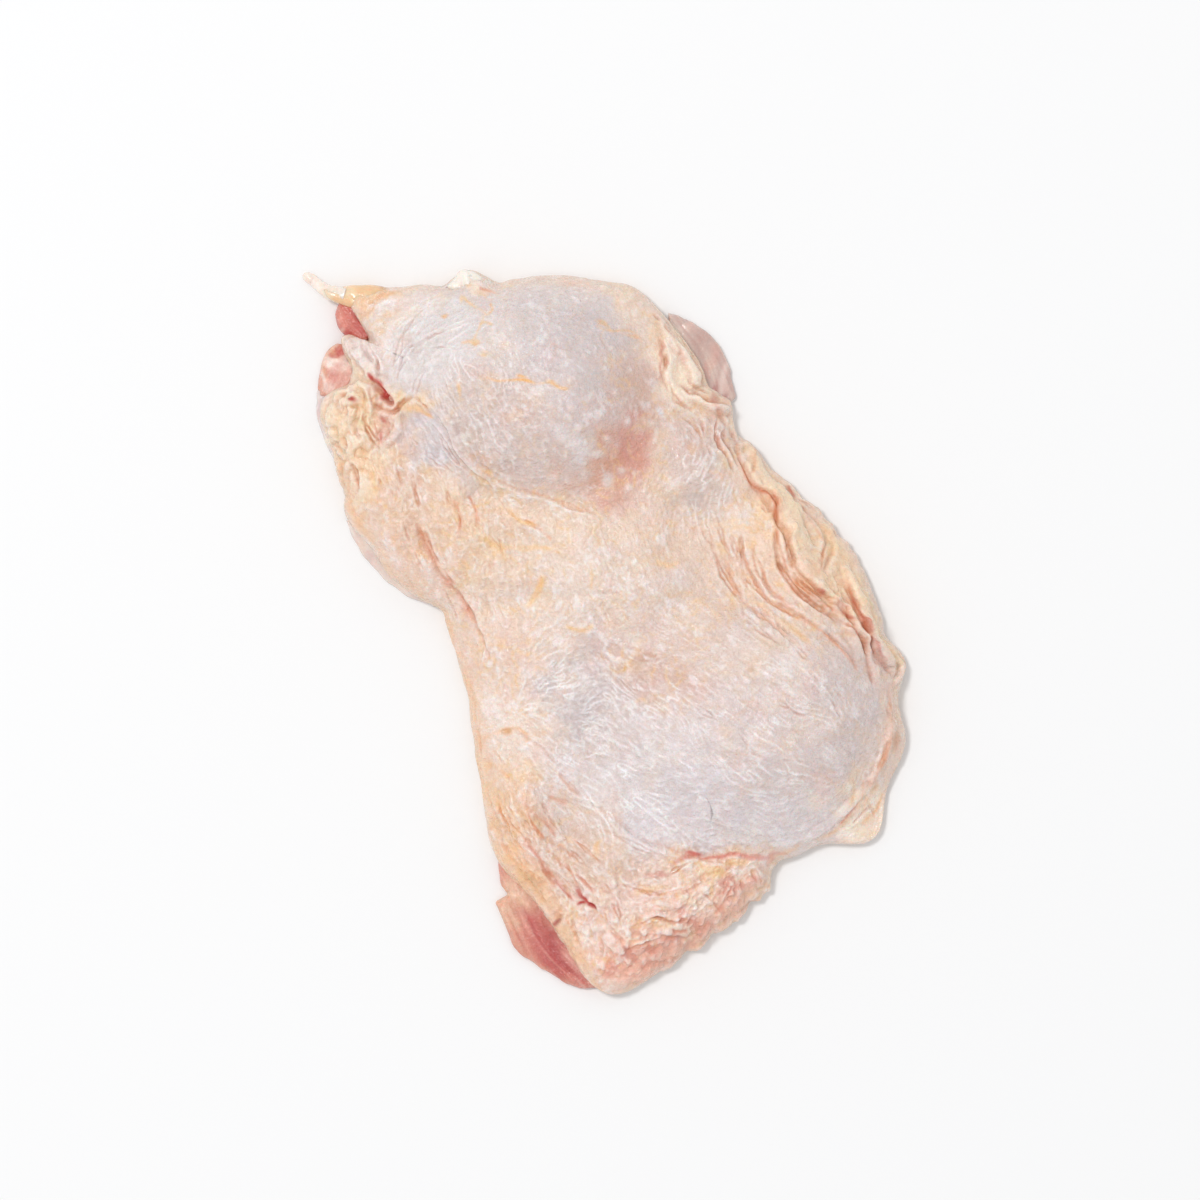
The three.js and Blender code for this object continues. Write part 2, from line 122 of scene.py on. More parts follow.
# ---------------------------------------------------------------------------
# Relief, in mm. Creases: points (u, v), half width, depth, bank height
# ---------------------------------------------------------------------------
CREASES = [
    # long folds of the right side
    ([(737, 453), (741, 463), (748, 478), (753, 487), (762, 492), (770, 500), (774, 510), (776, 525), (784, 535), (787, 550), (790, 562), (795, 575), (800, 584), (810, 594), (825, 607), (842, 617)], 0.50, 1.30, 0.55),
    ([(774, 527), (774, 550), (777, 565), (785, 577), (800, 595), (815, 607), (835, 620), (852, 632), (862, 645), (869, 664), (878, 690)], 0.48, 1.10, 0.45),
    ([(741, 532), (740, 550), (742, 570), (750, 585), (762, 597), (775, 605), (795, 615), (805, 619), (825, 632), (845, 650), (858, 672)], 0.45, 0.95, 0.40),
    ([(752, 550), (760, 565), (765, 585), (775, 600), (787, 610), (806, 628)], 0.38, 0.70, 0.30),
    ([(730, 535), (735, 552), (742, 575), (750, 597), (762, 612), (777, 625), (792, 640)], 0.42, 0.60, 0.30),
    ([(845, 584), (849, 594), (855, 607), (862, 630), (870, 647), (880, 660), (890, 670)], 0.36, 0.90, 0.30),
    ([(825, 588), (840, 610), (852, 630), (862, 650), (868, 672), (872, 690)], 0.50, 1.00, 0.45),
    ([(797, 575), (812, 590), (828, 600), (840, 612)], 0.42, 0.90, 0.35),
    ([(797, 502), (807, 520), (815, 531)], 0.38, 0.55, 0.30),
    ([(812, 524), (820, 540), (822, 552), (818, 570), (822, 584)], 0.40, 0.70, 0.35),
    ([(826, 545), (832, 556), (838, 560)], 0.40, 0.60, 0.30),
    ([(790, 492), (812, 506), (835, 530), (843, 541)], 0.50, 0.60, 0.30),
    ([(760, 505), (768, 520), (772, 536)], 0.36, 0.50, 0.25),
    ([(700, 520), (712, 548), (722, 575), (738, 600), (744, 618)], 0.40, 0.45, 0.22),
    ([(716, 515), (722, 540), (731, 562)], 0.34, 0.40, 0.20),
    ([(745, 618), (762, 632), (780, 645)], 0.40, 0.50, 0.20),
    ([(725, 560), (736, 585), (748, 606), (770, 624), (795, 648), (815, 668)], 0.40, 0.50, 0.25),
    # under the right ruffle
    ([(735, 410), (734, 424), (737, 440), (740, 454)], 0.50, 1.30, 0.50),
    ([(713, 404), (716, 418), (714, 432), (718, 446), (729, 462), (734, 480)], 0.40, 0.80, 0.35),
    ([(700, 416), (702, 430), (706, 446), (712, 458)], 0.36, 0.60, 0.30),
    ([(726, 424), (722, 438), (730, 452), (738, 470), (745, 496)], 0.38, 0.80, 0.35),
    ([(672, 408), (684, 420), (696, 430), (704, 446)], 0.40, 0.60, 0.30),
    ([(750, 447), (748, 458), (750, 474)], 0.34, 0.70, 0.35),
    # upper right ruffle
    ([(660, 333), (665, 352), (666, 370), (670, 388), (678, 403), (692, 412)], 0.46, 1.10, 0.40),
    ([(650, 310), (662, 322), (675, 345), (684, 366), (690, 384)], 0.40, 0.80, 0.40),
    ([(668, 312), (682, 332), (697, 352), (704, 372)], 0.36, 0.60, 0.30),
    ([(690, 392), (704, 400), (720, 408), (733, 409)], 0.42, 1.00, 0.40),
    ([(684, 376), (695, 388), (712, 394)], 0.34, 0.60, 0.30),
    # waist and middle
    ([(520, 490), (540, 497), (565, 505), (590, 515), (612, 517)], 0.40, 0.22, 0.12),
    ([(470, 497), (477, 512), (477, 525)], 0.36, 0.60, 0.25),
    ([(455, 505), (462, 525), (455, 542)], 0.40, 0.80, 0.30),
    ([(425, 527), (435, 552), (450, 577), (465, 592), (472, 612)], 0.50, 1.10, 0.40),
    ([(412, 470), (418, 498), (425, 527)], 0.45, 0.70, 0.30),
    ([(525, 520), (538, 530), (550, 536)], 0.38, 0.50, 0.22),
    ([(590, 558), (591, 572), (592, 588)], 0.35, 0.45, 0.20),
    ([(446, 590), (458, 620), (466, 650)], 0.40, 0.60, 0.28),
    ([(472, 612), (484, 640), (490, 660)], 0.40, 0.55, 0.25),
    ([(440, 470), (448, 490), (452, 508)], 0.38, 0.55, 0.25),
    ([(500, 500), (512, 515), (530, 524)], 0.38, 0.50, 0.22),
    ([(488, 530), (500, 545), (505, 562)], 0.36, 0.45, 0.22),
    ([(404, 520), (412, 545), (426, 572)], 0.40, 0.60, 0.28),
    # upper left: pleats that meet at the tear
    ([(366, 337), (372, 350), (379, 362), (380, 377), (385, 388)], 0.50, 1.40, 0.55),
    ([(388, 380), (398, 358), (405, 335), (420, 315), (442, 302)], 0.40, 0.55, 0.32),
    ([(395, 388), (403, 368), (415, 350), (440, 336), (462, 330)], 0.40, 0.60, 0.35),
    ([(402, 372), (408, 352), (424, 330), (452, 312)], 0.34, 0.35, 0.22),
    ([(408, 356), (436, 350), (462, 352)], 0.34, 0.40, 0.20),
    ([(415, 400), (420, 380), (432, 366)], 0.36, 0.50, 0.28),
    ([(394, 421), (400, 408), (410, 401), (420, 402), (430, 413), (436, 420)], 0.42, 1.20, 0.55),
    ([(437, 409), (452, 430), (465, 455), (478, 470), (492, 480)], 0.40, 0.50, 0.45),
    ([(428, 418), (444, 440), (458, 462), (472, 474)], 0.38, 0.60, 0.40),
    ([(403, 432), (420, 446), (438, 462), (462, 478)], 0.36, 0.60, 0.35),
    # curled rim at the far left
    ([(325, 432), (329, 443), (337, 448), (344, 458)], 0.45, 1.20, 0.60),
    ([(352, 393), (358, 402), (360, 414), (356, 428), (362, 440)], 0.42, 1.10, 0.65),
    ([(366, 388), (370, 402), (366, 420), (374, 438), (383, 450)], 0.42, 1.00, 0.60),
    ([(333, 400), (344, 396), (352, 393)], 0.42, 1.10, 0.50),
    ([(338, 415), (346, 424), (344, 438), (350, 450)], 0.38, 0.90, 0.55),
    ([(346, 458), (356, 470), (360, 486), (358, 500)], 0.40, 0.80, 0.45),
    ([(383, 450), (396, 446), (400, 452), (398, 468), (404, 486)], 0.42, 1.00, 0.50),
    ([(372, 462), (380, 476), (382, 492)], 0.38, 0.70, 0.40),
    ([(333, 462), (342, 478), (348, 500), (356, 520)], 0.40, 0.60, 0.35),
    ([(350, 342), (354, 356), (356, 372)], 0.40, 0.80, 0.50),
    ([(360, 336), (364, 352), (361, 368), (368, 380)], 0.36, 0.80, 0.50),
    # lower lobe
    ([(743, 683), (750, 686), (757, 689)], 0.34, 0.40, 0.20),
    ([(777, 701), (786, 706), (796, 712), (813, 715)], 0.34, 0.40, 0.22),
    ([(734, 728), (741, 737), (747, 746), (755, 754), (767, 760)], 0.34, 0.42, 0.22),
    ([(779, 758), (790, 759), (802, 763)], 0.34, 0.36, 0.20),
    ([(820, 690), (832, 705), (840, 722)], 0.38, 0.35, 0.18),
    ([(806, 676), (826, 684), (842, 700)], 0.36, 0.35, 0.18),
    ([(690, 700), (705, 712), (722, 722)], 0.36, 0.40, 0.20),
    ([(640, 706), (655, 716), (668, 728)], 0.36, 0.40, 0.20),
    ([(700, 668), (718, 680), (735, 690)], 0.34, 0.38, 0.18),
    # valley at the foot of the lower lobe
    ([(512, 727), (530, 738), (545, 746), (560, 770), (572, 785), (585, 797), (602, 810), (620, 822), (635, 832), (650, 842), (672, 850), (695, 856), (720, 860), (748, 859), (770, 856)], 0.45, 0.32, 0.15),
    ([(542, 751), (552, 762), (560, 772), (570, 785), (582, 796), (592, 804)], 0.32, 0.30, 0.18),
    ([(600, 826), (625, 838), (650, 850), (676, 856)], 0.34, 0.50, 0.28),
    ([(647, 872), (660, 876), (677, 867), (694, 857)], 0.42, 0.90, 0.30),
    ([(620, 882), (640, 888), (660, 892), (685, 885), (702, 874)], 0.40, 0.90, 0.45),
    ([(520, 828), (530, 845), (542, 862), (552, 875), (563, 888), (574, 899)], 0.34, 0.45, 0.25),
    ([(506, 806), (514, 822), (526, 836), (536, 852)], 0.34, 0.50, 0.30), ([(512, 850), (524, 866), (536, 884), (545, 902)], 0.34, 0.55, 0.40),
    ([(500, 832), (508, 848), (520, 862)], 0.34, 0.50, 0.40), ([(548, 884), (556, 898), (566, 912)], 0.34, 0.50, 0.40),
    ([(498, 800), (504, 814), (513, 826)], 0.32, 0.45, 0.35), ([(502, 842), (507, 846), (512, 853)], 0.34, 0.50, 0.35), ([(520, 860), (532, 871), (543, 886)], 0.32, 0.45, 0.35),
    ([(527, 807), (533, 822), (545, 838)], 0.32, 0.40, 0.20), ([(542, 866), (549, 874), (556, 886)], 0.30, 0.45, 0.30), ([(558, 842), (566, 848), (573, 857)], 0.32, 0.45, 0.30),
    ([(568, 833), (584, 846), (601, 861)], 0.32, 0.40, 0.30), ([(576, 872), (585, 880), (595, 891)], 0.30, 0.45, 0.30),
    ([(514, 838), (524, 846), (531, 860)], 0.30, 0.40, 0.35), ([(536, 890), (546, 902), (552, 916)], 0.30, 0.40, 0.35), ([(508, 812), (518, 822), (524, 834)], 0.30, 0.40, 0.30),
    ([(566, 918), (574, 930), (578, 944)], 0.30, 0.40, 0.30), ([(564, 862), (572, 872), (578, 884)], 0.30, 0.40, 0.30), ([(546, 846), (556, 856), (564, 868)], 0.30, 0.40, 0.30),
    ([(576, 889), (583, 897), (590, 902), (597, 909)], 0.30, 0.35, 0.35),
    ([(558, 912), (562, 918), (559, 923)], 0.42, 1.40, 0.40),
    ([(492, 745), (500, 756), (507, 765), (517, 772)], 0.32, 0.35, 0.12),
    ([(607, 880), (613, 892), (618, 910), (622, 930)], 0.34, 0.50, 0.16),
    ([(590, 868), (603, 884), (614, 892)], 0.34, 0.45, 0.15),
    ([(500, 790), (512, 808), (526, 820), (536, 838)], 0.38, 0.60, 0.32),
    ([(540, 800), (556, 826), (572, 850), (590, 868)], 0.42, 0.70, 0.35),
    ([(524, 786), (540, 800), (552, 812)], 0.34, 0.40, 0.12),
    ([(470, 690), (474, 722), (481, 755), (485, 780), (490, 803), (498, 826)], 0.50, 0.70, 0.35),
    ([(640, 922), (655, 915), (672, 920), (690, 915)], 0.40, 0.80, 0.45),
    ([(598, 930), (602, 948), (598, 966)], 0.34, 0.45, 0.15),
    ([(628, 948), (648, 940), (668, 935)], 0.38, 0.60, 0.40),
    ([(700, 890), (712, 900), (722, 914)], 0.36, 0.55, 0.20),
    ([(728, 872), (738, 880), (744, 892)], 0.34, 0.50, 0.15),
    ([(752, 866), (757, 877), (762, 884)], 0.34, 0.35, 0.10),
    ([(690, 930), (700, 938), (706, 944)], 0.34, 0.40, 0.12),
    # the two lines that run round the lower lobe
    ([(870, 668), (882, 690), (889, 715), (885, 742), (871, 776), (851, 801), (829, 820), (803, 838)], 0.40, 0.55, 0.45),
    ([(893, 690), (893, 715), (886, 745), (876, 772), (857, 798), (833, 820), (812, 835), (785, 850)], 0.40, 0.70, 0.30),
    ([(838, 838), (848, 826), (862, 812), (874, 800)], 0.40, 0.80, 0.30),
    ([(868, 802), (872, 815), (868, 830)], 0.36, 0.60, 0.30),
]
# Ropes: round-backed ridges: points, half width mm, height mm
ROPES = [
    ([(749, 447), (756, 462), (770, 487), (786, 512), (797, 532), (806, 552)], 1.5, 0.9),
    ([(843, 565), (852, 588), (862, 610), (872, 636), (883, 654), (894, 668)], 1.35, 1.1),
    ([(895, 657), (902, 664), (905, 674), (898, 683)], 1.0, 1.2),
    ([(895, 686), (896, 704), (893, 724), (884, 756), (868, 784), (846, 806), (824, 826), (800, 842)], 1.1, 0.35),
    ([(662, 312), (668, 334), (684, 355), (695, 374), (695, 388)], 1.1, 0.9),
    ([(688, 396), (702, 403), (718, 411), (732, 410)], 1.0, 1.1),
    ([(745, 440), (750, 448), (748, 458)], 1.3, 1.0),
    ([(380, 448), (392, 441), (399, 430), (398, 418), (393, 425)], 1.1, 1.0),
    ([(350, 384), (362, 386), (371, 392), (372, 404), (368, 418)], 1.1, 1.1),
    ([(331, 402), (340, 392), (350, 390)], 1.1, 1.0),
    ([(329, 410), (326, 424), (331, 436)], 1.0, 0.9),
    ([(340, 404), (350, 404), (354, 414), (348, 424)], 0.95, 0.8),
    ([(357, 350), (364, 362), (372, 372), (372, 384)], 1.3, 1.0),
    ([(346, 340), (352, 352), (352, 366)], 0.9, 0.8),
    ([(436, 408), (450, 425), (463, 453), (476, 468), (492, 479)], 0.8, 0.6),
    ([(500, 856), (514, 876), (532, 898), (548, 922), (562, 948)], 1.6, 0.8),
    ([(580, 915), (584, 930), (590, 946)], 1.5, 0.8),
    ([(604, 930), (616, 944), (622, 960)], 1.3, 0.7),
    ([(646, 905), (668, 902), (690, 895), (712, 884)], 1.3, 0.7),
    ([(655, 925), (676, 928), (696, 926)], 1.3, 0.7),
    ([(820, 590), (836, 612), (850, 636), (860, 660)], 1.0, 0.7),
    ([(784, 548), (792, 572), (806, 592), (828, 612)], 0.9, 0.5),
]
# Folds that lie over what is beside them: points (u, v), step in mm, how far it dies away in mm, groove at its foot in mm.
# The side to the right of the way down is raised, or the other side where the step is negative.
OVERLAPS = [
    ([(733, 441), (738, 455), (745, 470), (752, 485), (763, 502), (774, 518), (781, 533), (787, 549), (793, 563), (801, 577), (817, 593), (843, 618), (855, 636), (866, 664), (877, 690)], 1.50, 5.0, .55),
    ([(841, 574), (845, 586), (850, 600), (858, 622), (866, 638), (874, 653), (884, 666), (893, 676)], 1.20, 3.0, .50),
    ([(776, 477), (785, 489), (795, 501), (806, 512), (818, 522)], -1.10, 4.0, .60),
    ([(774, 526), (775, 551), (781, 571), (793, 588), (808, 603), (828, 616), (849, 636)], .70, 2.6, .40),
    ([(740, 542), (743, 559), (755, 582), (769, 602), (787, 612), (803, 618), (826, 630)], .60, 3.0, .40),
    ([(752, 545), (753, 564), (761, 580), (775, 597), (790, 607)], .50, 2.2, .35),
    ([(824, 532), (831, 541), (832, 552), (826, 563), (822, 575)], .80, 2.4, .45),
    ([(812, 520), (822, 536), (820, 552), (814, 566)], -.60, 2.4, .35),
    ([(745, 447), (752, 458), (752, 470), (748, 478)], .50, 2.0, .35),
    ([(720, 560), (732, 585), (748, 604), (768, 620), (792, 636)], .40, 3.0, .25),
    ([(516, 820), (528, 840), (540, 857), (552, 873), (566, 889), (580, 901)], -.55, 4.6, .0),
    ([(578, 893), (587, 900), (598, 910)], .50, 3.0, .15),
    ([(659, 335), (663, 350), (665, 364), (664, 380), (668, 394)], .90, 3.6, .45),
    ([(678, 386), (690, 394), (704, 400), (718, 405), (731, 404)], -.90, 2.6, .45),
    ([(682, 340), (694, 356), (703, 372), (706, 386)], -.60, 2.4, .30),
    ([(706, 404), (716, 412), (722, 420), (730, 430)], .55, 2.4, .40), ([(727, 412), (732, 426), (733, 441)], .70, 2.4, .50),
    ([(418, 520), (428, 545), (444, 575), (462, 595), (476, 622), (488, 650)], .65, 4.0, .30),
    ([(371, 388), (374, 402), (384, 410), (398, 412), (408, 402), (421, 400)], -.80, 3.4, .50),
    ([(438, 408), (452, 428), (465, 452), (478, 468), (494, 480), (516, 489), (544, 497), (575, 507), (604, 517)], -.50, 5.0, .0),
    ([(512, 727), (530, 738), (546, 750), (562, 772), (586, 798), (604, 811), (636, 832), (674, 850), (720, 860), (765, 857)], -.38, 5.0, .05),
]
# Round bumps: (u, v), radius mm, height mm
BUMPS = [
    (532, 400, 1.0, .30), (552, 407, 1.0, .30), (572, 410, 1.1, .32), (547, 377, .9, .26), (520, 430, 1.0, .30),
    (537, 430, 1.0, .28), (559, 432, 1.0, .30), (580, 430, 1.1, .34), (607, 440, 1.1, .34), (595, 456, 1.1, .34),
    (585, 475, 1.1, .36), (609, 482, 1.8, .55), (615, 395, 1.0, .30), (627, 422, 1.1, .34), (622, 471, 1.2, .38),
    (650, 385, 1.0, .30), (645, 423, .7, .22), (600, 417, 1.0, .30), (592, 398, .9, .26), (570, 385, .9, .24),
    (604, 372, .9, .26), (630, 372, .9, .26), (585, 360, .8, .22), (565, 356, .8, .20), (612, 350, .8, .22),
    (636, 350, .8, .22), (590, 335, .7, .18), (560, 330, .7, .18), (618, 328, .8, .2), (540, 352, .8, .2),
    (546, 452, 1.0, .3), (566, 458, 1.0, .3), (528, 455, .9, .26), (508, 448, .9, .24), (556, 478, 1.0, .3),
    (627, 490, 1.1, .3), (576, 446, 1.6, .34), (563, 441, 1.4, .3), (652, 425, .9, .26),
    (648, 745, 2.6, .8), (627, 676, 2.0, .6), (655, 690, 1.4, .4), (676, 745, 1.6, .4), (700, 760, 1.6, .35),
    (790, 742, 1.5, .35), (840, 752, 1.4, .3), (705, 785, 1.6, .35), (812, 735, 1.4, .3), (760, 780, 1.5, .3),
    (720, 840, 1.8, .4), (470, 276, 1.6, 1.0), (480, 284, 1.3, .7), (462, 282, 1.0, .5), (606, 285, 1.2, .7),
    (618, 290, 1.1, .6), (632, 296, 1.3, .7), (642, 303, 1.0, .5), (625, 303, .8, .4),
    (876, 604, .8, .7), (880, 616, .8, .7), (884, 630, .9, .7), (888, 642, .8, .6), (872, 592, .8, .6), (862, 580, .9, .6),
    (596, 925, 1.4, .7), (612, 920, 1.2, .5), (634, 908, 1.3, .5), (656, 905, 1.1, .5), (664, 930, 1.3, .5),
    (600, 962, 1.2, .5), (628, 960, 1.3, .5), (645, 930, 1.1, .5), (608, 895, 1.1, .4), (727, 905, 1.0, .6),
    (738, 890, 1.1, .6), (752, 880, 1.0, .5), (716, 922, 1.0, .6), (742, 906, .9, .5), (760, 874, .9, .5),
]
# Dents and tears: (u, v), half length mm, half width mm, turn of the long side, depth mm
DENTS = [
    (384, 395, 3.3, .8, -52, 2.2), (390, 402, 1.6, .8, -40, 1.4), (356, 408, .7, .55, 0, 1.3), (385, 428, 2.4, 1.2, -70, .3),
    (559, 918, 1.1, .5, 68, 1.2), (591, 902, 1.8, .4, -40, .35), (582, 903, .9, .4, 8, .35), (506, 731, 1.2, .8, 10, .5),
    (337, 362, 2.4, 2.0, 30, 1.2), (646, 655, 2.4, 1.6, 0, .5), (603, 508, 4.0, 2.2, 15, .3),
    (640, 470, 3.0, 2.0, 60, .3), (700, 850, 5.0, 1.4, 0, .6),
]

# Strokes that the fine wrinkles run along: points (u, v)
STROKES = [
    [(378, 365), (385, 340), (405, 315), (440, 297), (480, 288)], [(385, 385), (400, 355), (425, 325), (460, 305), (510, 290)],
    [(400, 395), (420, 365), (445, 340), (480, 325)], [(505, 450), (485, 415), (465, 380), (452, 352)],
    [(555, 450), (545, 400), (528, 350), (520, 320)], [(600, 450), (590, 400), (575, 350), (545, 305)],
    [(655, 400), (640, 350), (620, 310), (590, 290)], [(480, 290), (540, 283), (600, 290)],
    [(700, 400), (685, 360), (665, 325), (640, 295)], [(740, 412), (715, 402), (690, 388)],
    [(480, 480), (455, 440), (430, 405)], [(560, 500), (520, 470), (490, 440)], [(600, 507), (560, 500), (520, 487)],
    [(650, 500), (640, 450), (645, 410)], [(690, 560), (680, 500), (685, 450)], [(725, 550), (722, 500), (728, 450)],
    [(372, 480), (362, 440), (365, 400)], [(400, 560), (385, 520), (378, 480)], [(440, 600), (430, 550), (425, 500), (412, 450)],
    [(480, 600), (470, 550), (462, 500)], [(540, 570), (525, 535), (500, 510)], [(575, 600), (565, 560), (555, 530)],
    [(610, 600), (600, 570), (598, 535)], [(660, 620), (640, 590), (630, 560)], [(720, 640), (690, 610), (665, 570)],
    [(820, 620), (795, 590), (778, 560), (765, 500), (755, 470)], [(860, 660), (830, 620), (800, 590)],
    [(885, 660), (865, 620), (845, 580), (820, 540), (790, 500)], [(800, 690), (750, 660), (700, 630), (660, 600)],
    [(820, 730), (760, 700), (700, 665), (650, 640)], [(740, 760), (690, 725), (640, 690), (600, 655)],
    [(840, 770), (790, 750), (740, 735)], [(520, 690), (535, 650), (570, 630)], [(540, 705), (570, 700), (600, 690)],
    [(620, 760), (580, 735), (540, 720)], [(600, 800), (560, 775), (520, 755)], [(700, 835), (650, 820), (600, 795)],
    [(800, 835), (750, 838), (700, 830)], [(860, 790), (830, 815), (800, 835)], [(885, 690), (890, 730), (880, 770), (855, 800)],
    [(850, 720), (840, 680), (830, 650)], [(490, 800), (480, 750), (470, 700), (455, 650)],
    [(560, 900), (535, 860), (515, 820), (505, 780)], [(600, 960), (590, 920), (580, 880)], [(620, 870), (600, 840), (570, 810)],
    [(720, 865), (680, 860), (640, 855)], [(760, 870), (730, 890), (700, 915), (660, 945), (620, 970)],
    [(690, 900), (640, 906)], [(520, 640), (500, 600), (490, 560)],
]

# ---------------------------------------------------------------------------
# Zones: (u, v), half length mm, half width mm, turn, softness 0..1, value
# ---------------------------------------------------------------------------
LARGE_WRINKLES = (0.22, [
    (560, 370, 30, 25, 0, .5, .07), (430, 350, 14, 12, 0, .6, .12), (740, 720, 36, 26, -30, .5, .12), (640, 730, 14, 16, 0, .6, .22),
    (400, 520, 12, 26, 30, .6, .42), (470, 550, 18, 16, -30, .6, .34), (600, 560, 22, 12, -20, .6, .18), (790, 570, 14, 28, 35, .6, .20),
    (540, 840, 12, 22, 40, .6, .42), (650, 910, 30, 16, 15, .6, .55), (350, 430, 9, 18, 8, .6, .50), (680, 350, 8, 14, 30, .6, .25),
    (715, 440, 9, 6, 0, .6, .35), (500, 700, 9, 16, 0, .6, .35), (720, 900, 12, 8, 35, .6, .65), (700, 500, 10, 14, 0, .6, .16),
])
MIDDLE_WRINKLES = (0.19, [
    (560, 370, 30, 24, 0, .5, .09), (430, 350, 16, 13, 0, .6, .15), (610, 410, 16, 20, 0, .6, .07), (740, 720, 38, 27, -30, .5, .21),
    (640, 720, 18, 18, 0, .6, .22), (570, 690, 14, 14, 0, .6, .18), (400, 520, 12, 26, 30, .6, .26), (470, 550, 18, 16, -30, .6, .30),
    (600, 560, 22, 12, -20, .6, .20), (700, 500, 10, 14, 0, .6, .24), (790, 570, 14, 28, 35, .6, .16), (720, 810, 26, 8, 0, .6, .14),
    (535, 855, 9, 20, 33, .6, .42), (650, 910, 30, 16, 15, .6, .34), (350, 430, 9, 18, 8, .6, .28), (720, 900, 12, 8, 35, .6, .40),
    (480, 430, 12, 14, -30, .6, .19), (850, 720, 10, 20, -8, .6, .10),
])
# thin lines between the wrinkles, and how far they close up into cells
RUTS = (1.0, [
    (560, 370, 30, 24, 0, .5, .55), (610, 420, 14, 18, 0, .6, .40), (430, 350, 16, 13, 0, .6, 1.0), (740, 720, 38, 27, -30, .5, .85),
    (640, 720, 18, 18, 0, .6, 1.1), (570, 690, 14, 14, 0, .6, 1.4), (400, 520, 12, 26, 30, .6, 1.4), (470, 550, 18, 16, -30, .6, 1.5),
    (600, 560, 22, 12, -20, .6, 1.2), (700, 500, 10, 14, 0, .6, 1.2), (650, 910, 30, 16, 15, .6, 1.8), (720, 900, 12, 8, 35, .6, 2.0),
    (850, 720, 10, 20, -8, .6, .6), (535, 850, 10, 20, 33, .6, 2.0), (350, 430, 9, 18, 8, .6, 1.2),
])
CELLS = (0.14, [
    (470, 550, 20, 18, -30, .6, 1.3), (560, 540, 22, 10, -20, .6, 1.2), (400, 520, 12, 26, 30, .6, .9), (600, 600, 20, 12, -20, .6, .9),
    (650, 910, 32, 16, 15, .6, 1.5), (720, 900, 12, 8, 35, .6, 1.6), (520, 820, 14, 22, 30, .6, 1.0), (480, 440, 14, 14, -30, .6, .8),
    (610, 700, 16, 16, 0, .6, .7), (350, 430, 9, 18, 8, .6, .9), (500, 690, 10, 20, 0, .6, .9), (700, 430, 9, 8, 0, .6, .8),
])
# where the thin lines stand up as ridges instead, with a painted highlight along them
RIDGED = (0.25, [
    (572, 700, 16, 16, 0, .6, 1.0), (740, 720, 40, 28, -30, .5, .85), (430, 350, 20, 15, 0, .6, 1.0), (560, 350, 26, 18, 0, .6, .6),
    (703, 487, 11, 14, 0, .6, .8), (480, 430, 14, 14, -30, .6, .8), (620, 795, 24, 12, -25, .6, 1.0), (650, 905, 30, 12, 15, .6, .55),
    (600, 600, 20, 12, -20, .6, .6), (535, 860, 8, 20, 33, .6, .7), (420, 470, 8, 12, 0, .6, .7), (670, 360, 8, 12, 0, .6, .6),
])
FINE_WRINKLES = (0.075, [
    (560, 370, 30, 24, 0, .5, .065), (610, 410, 16, 20, 0, .6, .045), (740, 720, 38, 27, -30, .5, .08), (600, 700, 18, 14, 0, .6, .15),
    (460, 540, 22, 20, -30, .6, .14), (650, 910, 30, 16, 15, .6, .20), (720, 900, 12, 8, 35, .6, .24), (350, 430, 9, 18, 8, .6, .10),
    (790, 570, 14, 28, 35, .6, .07), (480, 430, 12, 14, -30, .6, .14), (535, 855, 8, 18, 33, .6, .20), (655, 950, 16, 7, 22, .6, .24),
    (384, 412, 6, 8, 0, .6, .13), (398, 520, 12, 24, 30, .6, .12),
])

